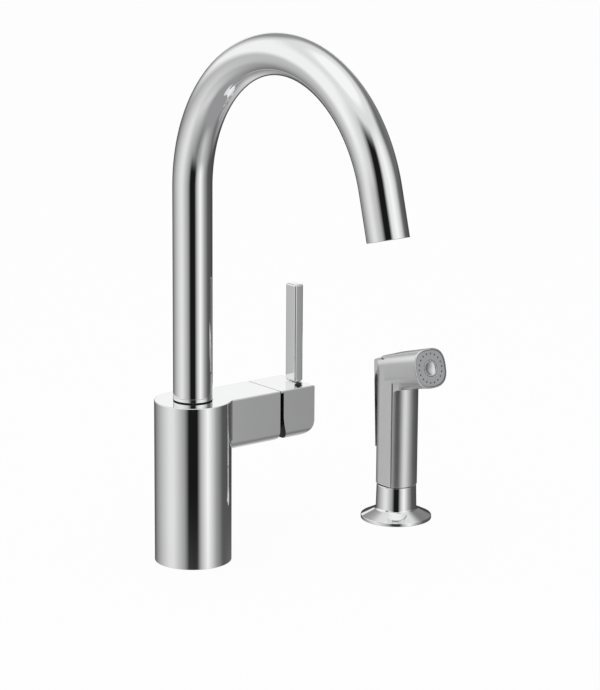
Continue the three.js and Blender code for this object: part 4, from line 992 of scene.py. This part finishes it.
class FAUCET_OT_handset(PieceOperator):
    """Models the spray's grip, its shell with the head, and its trigger."""

    bl_idname = "faucet.handset"
    bl_label = "Spray handset"

    def execute(self, context):
        s = sizes("faucet_spray")
        self.grip(s)
        self.shell(s)
        self.trigger(s)
        return {"FINISHED"}

    def barrel(self, s, name, grow=0.0):
        """The head as one solid: a soft square that narrows towards the back."""
        wide, tall, back = s.head_width, s.head_height, -s.head_back
        piece = soft_square(name, wide + 2 * grow, tall + 2 * grow, back, s.head_reach)
        pick(piece, "verts", lambda v: near(v.co.z, back))
        taper = (2 * s.half_width / wide, s.head_back_height / tall, 1)
        bpy.ops.transform.resize(value=taper, center_override=(0, 0, back))
        bpy.ops.object.mode_set(mode="OBJECT")
        return piece

    def grip(self, s):
        """The round front of the handle with its flat core and the spigot under it."""
        base, top = GRIP_BASE, s.head_axis
        seam = -s.seam - s.seam_gap
        grip = rod("grip", s.column_diameter, base, top, 128)
        bevel(grip, 0.7, 4, edges(z=base))
        keep = block("keep", -s.half_width, s.half_width, -30, seam, 0, 200)
        combine(grip, keep, "INTERSECT")
        core_x = s.half_width - s.wall - GAP
        join(grip, block("core", -core_x, core_x, seam - 1, 4, base, top))
        foot = block("foot", -core_x, core_x, seam - 1, s.back - s.wall - GAP, base, base + 9)
        bevel(foot, s.corner - s.wall, 8, lambda e: along(e, 2) and middle(e).y > 0)
        join(grip, foot)
        under = turn(self.barrel(s, "under_head", GAP), head_place(s))
        cut(grip, under)
        r, low = 10.5, 14
        spigot = turned("spigot", [(0, low), (r, low, 0.6), (r, base + 1), (0, base + 1)], 64)
        join(grip, spigot, rod("riser", 10, 90, 108, 40))
        cut(grip, rod("waterway", 8, 0, 120, 40))
        cut(grip, turn(rod("valve_bore", 10, -12, 20, 40), laid("X", z=84, swing=-pi / 2)))
        settle(turn(grip, spray_place(s)), "spray_grip", 40)

    def shell(self, s):
        """The bright cover: back, cheeks and head in one."""
        base, top = GRIP_BASE, s.head_axis
        w, back, seam = s.half_width, s.back, -s.seam
        inner, inner_back = w - s.wall, back - s.wall

        def plan(name, x, y0, y1, radius, z0, z1):
            piece = block(name, -x, x, y0, y1, z0, z1)
            bevel(piece, radius, 12, edges(2, y=y1))
            return piece

        shell = plan("shell", w, seam, back, s.corner, base, top)
        bevel(shell, 0.8, 3, edges(2, y=seam))
        bevel(shell, 0.5, 3, edges(z=base))
        cut(shell, plan("inside", inner, seam - 5, inner_back, s.corner - s.wall, base - 1, top))
        head = self.barrel(s, "head")
        bevel(head, 0.9, 4, edges(z=s.head_reach))
        turn(head, head_place(s))

        # Behind, the head ends flush with the shell's back and is rounded over at the top.
        round_top, top_z = 8, 125.2
        corner = [(back, 0), (back, top_z - round_top)]
        for k in range(1, 13):
            a = k * pi / 24
            corner.append((back - round_top * (1 - cos(a)), top_z - round_top * (1 - sin(a))))
        corner += [(-60, 150), (-60, 0)]
        over = plate("over", [(-30, y, z) for y, z in corner], (60, 0, 0))
        combine(head, over, "INTERSECT")
        around = plan("around", w, seam, back, s.corner, 0, 160)
        combine(head, join(around, block("front", -30, 30, -60, 0, 0, 160)), "INTERSECT")
        join(shell, head)

        # The cheeks turn up into the head with a round inner corner.
        r = s.cheek_round
        corner_z = top + s.seam * tan(s.head_tilt) - s.head_back_height / 2 + 1.5
        web = block("cheeks", -w, w, seam - r, seam + 2, corner_z - r, corner_z + 6)
        hollow = rod("hollow", 2 * r, -30, 30, 96)
        cut(web, turn(hollow, laid("Y", 0, seam - r, corner_z - r)))
        cut(web, rod("column", s.column_diameter + 2 * s.seam_gap, 60, corner_z + 7, 128))
        cut(web, block("between", -inner, inner, -30, 30, 60, corner_z + 7))
        join(shell, web)

        # The trigger's slot and hinge, and the room for the face and for what is behind it.
        slot, slot_low, slot_high = TRIGGER_WIDTH / 2 + GAP, 53.4, 123.5
        cut(shell, block("slot", -slot, slot, 3, 30, slot_low, slot_high))
        cut(shell, turn(rod("hinge_hole", HINGE_BORE, -30, 30, 32), laid("Y", 0, HINGE_Y, HINGE_Z)))
        wide, tall = (size - 2 * FACE_RIM + 2 * GAP for size in (s.head_width, s.head_height))
        floor = s.head_reach - FACE_THICKNESS
        rebate = soft_square("rebate", wide, tall, floor - GAP, s.head_reach + 3)
        cut(shell, turn(rebate, head_place(s)))
        cut(shell, turn(rod("chamber", 22, 4, floor, 64), head_place(s)))
        cut(shell, rod("inlet", 11, 90, top, 48))
        settle(turn(soften(shell, 0.22, 2, 42), spray_place(s)), "spray_shell", 40)

    def trigger(self, s):
        """The plate in the back, as round as the shell, hinged at the top."""
        width, low = TRIGGER_WIDTH, TRIGGER_LOW.z
        y_low, y_top, thick = 15.6, 17.9, 3.0
        crown = 113.0
        slope = atan2(y_top - y_low, crown - low)
        outer = block("round_back", -s.half_width, s.half_width, -40, y_low, -20, 90)
        bevel(outer, s.corner, 12, edges(2, y=y_low))
        turn(outer, laid("X", z=low, swing=-slope))
        inner_low, inner_top, tip_z = y_low - thick, y_top - thick, crown + 9.6
        points = [(inner_low, low + 1.2), (inner_low + 0.4, low + 0.3), (y_low - 1.2, low)]
        points += [(y_low - 0.3, low + 0.3), (y_low, low + 1.2), (y_top, crown)]
        steps = 10
        for k in range(1, steps + 1):
            share = k / steps
            first, second, third = (1 - share) ** 2, 2 * share * (1 - share), share * share
            y = first * y_top + second * (y_top + 0.2) + third * (HINGE_Y + 3)
            z = first * crown + second * (crown + 8.0) + third * tip_z
            points.append((y, z))
        points += [(HINGE_Y - 2, tip_z + 0.4), (HINGE_Y - 2, HINGE_Z + 3)]
        points += [(inner_top - 2, HINGE_Z + 1), (inner_top - 0.2, HINGE_Z - 6)]
        side = plate("trigger", [(-width / 2, y, z) for y, z in points], (width, 0, 0))
        combine(side, outer, "INTERSECT")
        hinge = laid("Y", 0, HINGE_Y, HINGE_Z)
        join(side, turn(rod("boss", 8, -width / 2, width / 2, 48), hinge))
        cut(side, turn(rod("hinge_bore", HINGE_BORE, -20, 20, 32), hinge))
        settle(turn(side, spray_place(s)), "spray_trigger", 40)


class FAUCET_OT_face(PieceOperator):
    """Models the spray's face plate with its nozzles, and the dished button in it."""

    bl_idname = "faucet.face"
    bl_label = "Spray face"

    def execute(self, context):
        s = sizes("faucet_spray")
        place_face = spray_place(s) @ head_place(s)
        front = s.head_reach
        wide, tall = s.head_width - 2 * FACE_RIM, s.head_height - 2 * FACE_RIM
        face = soft_square("face", wide, tall, front - FACE_THICKNESS, front - 0.2)
        bevel(face, 0.5, 3, edges(z=front - 0.2))
        r, low, high = s.nozzle / 2, front - 4, front + 1
        points = [(0, low), (r, low), (r, front - 0.45), (r + 0.45, high), (0, high)]
        nozzle = turned("nozzle", points, 20)
        reach = s.nozzle_ring / 2
        for i in range(s.nozzles):
            a = i * 2 * pi / s.nozzles
            hole = nozzle.copy()
            hole.data = nozzle.data.copy()
            bpy.context.collection.objects.link(hole)
            cut(face, turn(hole, Matrix.Translation((reach * cos(a), reach * sin(a), 0))))
        bpy.data.objects.remove(nozzle)
        cut(face, rod("seat", s.dish + 2 * GAP, front - 2, high, 64))
        cut(face, rod("stem_hole", 5.6, low, high, 48))
        settle(turn(face, place_face), "spray_face_plate", 36)

        r, back, stem, hollow, lip = s.dish / 2, front - 12, 2.5, 1.5, s.dish / 2 - 0.7
        points = [(0, back), (stem, back, 0.3), (stem, front - 1.7), (r, front - 1.7, 0.2)]
        points += [(r, front, 0.25), (lip, front, 0.15)]
        for a in (radians(9 * k) for k in range(1, 10)):
            points.append((lip * cos(a), front - hollow * sin(a)))
        button = turned("button", [*points, (0, front - hollow)], 80)
        settle(turn(button, place_face), "spray_face_button", 36)
        return {"FINISHED"}


class FAUCET_OT_mounting(PieceOperator):
    """Models what clamps both fittings to the deck, and the tubes under it."""

    bl_idname = "faucet.mounting"
    bl_label = "Mounting"

    def execute(self, context):
        s = sizes("faucet_spray")
        deck_low, washer_low, tube_low, tube_high = -20, -23, -78, 59.7
        # Across outside and inside, lower and upper end, and the round on the edges.
        rings = {
            "mounting_shank": (32.4, 25, -58, 51.7, 0.8),
            "base_gasket": (46.4, 33, 0, 3, 0.5),
            "mounting_washer": (54, 33, washer_low, deck_low, 0.4),
            "spray_holder_shank": (28.6, 25.2, -46, 4.7, 0.5),
            "spray_base_gasket": (46.6, 29.2, 0, 1.2, 0.3),
            "spray_mounting_washer": (45.2, 29.2, washer_low, deck_low, 0.4),
            "hot_supply_tube": (9.5, 7, tube_low, tube_high, 0.3),
            "cold_supply_tube": (9.5, 7, tube_low, tube_high, 0.3),
            "spray_outlet_tube": (8, 5, tube_low, tube_high, 0.3),
        }
        threads = {"mounting_shank": "brass_thread", "spray_holder_shank": "white_thread"}
        for name, (outer, inner, z0, z1, edge) in rings.items():
            low, high = box_mm(name)
            centre = Vector((low.x + high.x, low.y + high.y, 0)) / 2
            piece = ring(name + "_look", outer, inner, z0, z1, edge)
            turn(piece, Matrix.Translation(centre))
            settle(piece, name, material=FINISHES.get(threads.get(name)))
        self.nut("mounting_nut", 46, 12, 33, washer_low - GAP, Matrix())
        self.nut("spray_mounting_nut", 40, 10, 29.2, washer_low - GAP, spray_place(s))
        return {"FINISHED"}

    def nut(self, name, flats, height, bore, top, where):
        """A hexagon nut, turned down at its corners."""
        r, flat, low = flats / sqrt(3), flats / 2, top - height
        piece = turn(rod(name + "_look", 2 * r, low, top, 6), Matrix.Rotation(pi / 6, 4, "Z"))
        drop = (r - flat) * 0.58
        points = [(0, low), (flat, low), (r, low + drop), (r, top - drop), (flat, top), (0, top)]
        combine(piece, turned("lens", points, 96), "INTERSECT")
        cut(piece, rod("bore", bore, low - 5, top + 5, 72))
        settle(turn(piece, where), name, 25)


# ---- studio

CAMERA_AT = (-1.11468, -1.51132, 0.60106)
CAMERA_RIGHT = (0.78126, -0.62417, 0.00681)
CAMERA_UP = (0.13834, 0.18378, 0.97318)
CAMERA_AHEAD = (0.60869, 0.75936, -0.22992)
FOCAL_PIXELS = 2739.27
PICTURE_HEIGHT = 690
WALL_RADIUS, WALL_HEIGHT = 2.0, 12.0
WALL_CENTRE = (0.08, -0.03)
FRONT = atan2(CAMERA_AT[1] - WALL_CENTRE[1], CAMERA_AT[0] - WALL_CENTRE[0])

# The walls hold soft boxes of light on both sides of a dark opening, where the camera stands, and
# dark cloths behind the set: level with the faucet, above it and below it. Each stop is a bearing
# from the camera's, in degrees, and how bright the wall is there.
LEVEL = [
    (-180, 0.05), (-150, 0.1), (-72, 0.8), (-58, 0.8), (-25, 0.35), (-12, 0.01),
    (13, 0.01), (25, 0.5), (45, 1.0), (75, 0.35), (100, 0.1), (180, 0.05),
]
ABOVE = [
    (-180, 0.3), (-160, 0.3), (-130, 0.95), (-65, 0.95), (-30, 0.65), (-10, 0.01),
    (14, 0.01), (28, 0.8), (52, 1.0), (78, 0.7), (100, 0.15), (120, 0.15), (180, 0.3),
]
BELOW = [(-180, 0.7), (-140, 0.15), (-65, 0.7), (5, 0.2), (45, 0.6), (110, 0.15), (180, 0.7)]


def seen_directly(tree):
    """1 to the eye, in bright metal and through glass, and 0 where it only sheds light."""
    path = node(tree, "ShaderNodeLightPath", output="Is Camera Ray")
    return path + path.of("Is Glossy Ray") + path.of("Is Transmission Ray")


class FAUCET_OT_studio(PieceOperator):
    """Sets up the floor, the light and the camera."""

    bl_idname = "faucet.studio"
    bl_label = "Studio"

    def execute(self, context):
        studio = context.scene.faucet_studio
        self.floor(studio)
        self.walls()
        self.hide_hardware()
        self.world(context, studio)
        self.lamp(studio)
        self.camera(context)
        context.scene.view_settings.view_transform = "Standard"
        return {"FINISHED"}

    def floor(self, studio):
        floor = start("floor", bpy.ops.mesh.primitive_plane_add, size=studio.floor_size)
        material, tree = blank("floor_white")
        matte = node(tree, "ShaderNodeBsdfDiffuse", None, {"Color": (0.86, 0.86, 0.86, 1)})
        glow = node(tree, "ShaderNodeEmission", None, {"Color": (1, 1, 1, 1), "Strength": 1.0})
        share = seen_directly(tree) * 0.94
        mixed = node(tree, "ShaderNodeMixShader", None, {0: share, 1: matte, 2: glow})
        node(tree, "ShaderNodeOutputMaterial", None, {"Surface": mixed})
        floor.data.materials.append(material)
        floor.visible_glossy = False
        floor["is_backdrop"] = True

    def walls(self):
        """Grey and white walls that only bright metal shows."""
        walls = rod("walls", 2 * WALL_RADIUS, -WALL_HEIGHT, WALL_HEIGHT, 128, *WALL_CENTRE)
        material, tree = blank("studio_walls")
        x = node(tree, "ShaderNodeSeparateXYZ", None, {"Vector": place(tree)}, "X")
        bearing = calc("ARCTAN2", x.of("Y") - WALL_CENTRE[1], x - WALL_CENTRE[0]) - FRONT
        height = x.of("Z")
        share = calc("FRACT", bearing / (2 * pi) + 0.5)
        level, above, below = (self.panels(tree, share, stops) for stops in (LEVEL, ABOVE, BELOW))
        # From the camera's level up and then down: where each tone starts and how softly it comes.
        for rise, start_at, width, tone in (
            (height, 0.15, 0.6, above),
            (-0.5 - height, 0.0, 0.6, below),
            (height, 1.6, 1.4, (0.78, 0.78, 0.78)),
            (height, 3.2, 3.0, (1.0, 1.0, 1.0)),
            (-1.6 - height, 0.0, 2.4, (0.32, 0.32, 0.33)),
        ):
            level = blend(tree, ease(tree, rise, start_at, width), level, tone)
        # A strip of light behind the set, at the height that level tops show.
        strip = ease(tree, calc("COSINE", bearing) * -1, 0.93, 0.05)
        strip = strip * (1 - ease(tree, calc("ABSOLUTE", height - 0.6), 0.13, 0.08))
        level = blend(tree, strip, level, (0.97, 0.97, 0.97))
        glow = node(tree, "ShaderNodeEmission", None, {"Color": level, "Strength": 1.0})
        node(tree, "ShaderNodeOutputMaterial", None, {"Surface": glow})
        walls.data.materials.append(material)
        for ray in ("camera", "diffuse", "transmission", "shadow"):
            setattr(walls, "visible_" + ray, False)
        walls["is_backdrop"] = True

    def hide_hardware(self):
        """The deck keeps what hangs under it out of the bright metal's reflections."""
        for piece in bpy.data.objects:
            if piece.type == "MESH" and min(corner[2] for corner in piece.bound_box) < -10 * MM:
                piece.visible_glossy = piece.name == "walls"

    def panels(self, tree, share, stops):
        """The walls' level at one height, by the share of the way round."""
        stops = [((bearing + 180) / 360, level) for bearing, level in stops]
        return node(tree, "ShaderNodeValToRGB", {"stops": stops}, {"Fac": share}, "Color")

    def world(self, context, studio):
        """White to the eye and in bright metal, plain light on matt surfaces."""
        world = bpy.data.worlds.new("studio")
        context.scene.world = world
        world.use_nodes = True
        tree = world.node_tree
        tree.nodes.clear()
        level = studio.fill
        plain = node(tree, "ShaderNodeBackground", None, {"Color": (level, level, level, 1)})
        white = node(tree, "ShaderNodeBackground", None, {"Color": (1, 1, 1, 1)})
        share = seen_directly(tree)
        whole = node(tree, "ShaderNodeMixShader", None, {0: share, 1: plain, 2: white})
        node(tree, "ShaderNodeOutputWorld", None, {"Surface": whole})

    def lamp(self, studio):
        """One large soft lamp overhead, to the left."""
        light = bpy.data.lights.new("soft_lamp", "AREA")
        light.shape = "DISK"
        light.size = 1.6
        light.energy = studio.lamp
        lamp = bpy.data.objects.new("soft_lamp", light)
        bpy.context.collection.objects.link(lamp)
        lamp.location = (-0.9, -1.0, 2.1)
        aim = Vector((0.08, 0, 0.15)) - lamp.location
        lamp.rotation_euler = aim.to_track_quat("-Z", "Y").to_euler()
        lamp.visible_glossy = False

    def camera(self, context):
        lens = bpy.data.cameras.new("camera")
        lens.sensor_width = 36
        lens.lens = FOCAL_PIXELS * lens.sensor_width / PICTURE_HEIGHT
        lens.clip_start, lens.clip_end = 0.05, 50
        camera = bpy.data.objects.new("camera", lens)
        bpy.context.collection.objects.link(camera)
        axes = (Vector(CAMERA_RIGHT), Vector(CAMERA_UP), -Vector(CAMERA_AHEAD))
        basis = Matrix([list(axis) for axis in axes]).transposed().to_4x4()
        camera.matrix_world = Matrix.Translation(CAMERA_AT) @ basis
        context.scene.camera = camera


# ---- the add-on's own parts

STEPS = (
    FAUCET_OT_finishes,
    FAUCET_OT_body,
    FAUCET_OT_spout,
    FAUCET_OT_handle,
    FAUCET_OT_holder,
    FAUCET_OT_handset,
    FAUCET_OT_face,
    FAUCET_OT_mounting,
    FAUCET_OT_studio,
)
GROUPS = {
    "faucet_body": FaucetBodySizes,
    "faucet_spout": FaucetSpoutSizes,
    "faucet_handle": FaucetHandleSizes,
    "faucet_spray": FaucetSpraySizes,
    "faucet_colours": FaucetColours,
    "faucet_studio": FaucetStudio,
}


class FAUCET_PT_panel(bpy.types.Panel):
    """The steps in the order in which they are taken."""

    bl_label = "Faucet and side spray"
    bl_idname = "FAUCET_PT_panel"
    bl_space_type = "VIEW_3D"
    bl_region_type = "UI"
    bl_category = "Faucet"

    def draw(self, context):
        for step in STEPS:
            self.layout.operator(step.bl_idname)
        for group in GROUPS:
            values = getattr(context.scene, group)
            for name in values.__annotations__:
                self.layout.prop(values, name)


def register():
    for kind in (*GROUPS.values(), *STEPS, FAUCET_PT_panel):
        bpy.utils.register_class(kind)
    for name, kind in GROUPS.items():
        setattr(bpy.types.Scene, name, PointerProperty(type=kind))


def unregister():
    for name in GROUPS:
        delattr(bpy.types.Scene, name)
    for kind in reversed((*GROUPS.values(), *STEPS, FAUCET_PT_panel)):
        bpy.utils.unregister_class(kind)


def main():
    register()
    for step in STEPS:
        group, name = step.bl_idname.split(".")
        getattr(getattr(bpy.ops, group), name)()
    at_rest()
    boxes = {"cad": CAD_BOX, "visual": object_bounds()}
    {name: [list(corner) for corner in box] for name, box in boxes.items()}


if __name__ == "__main__":
    main()
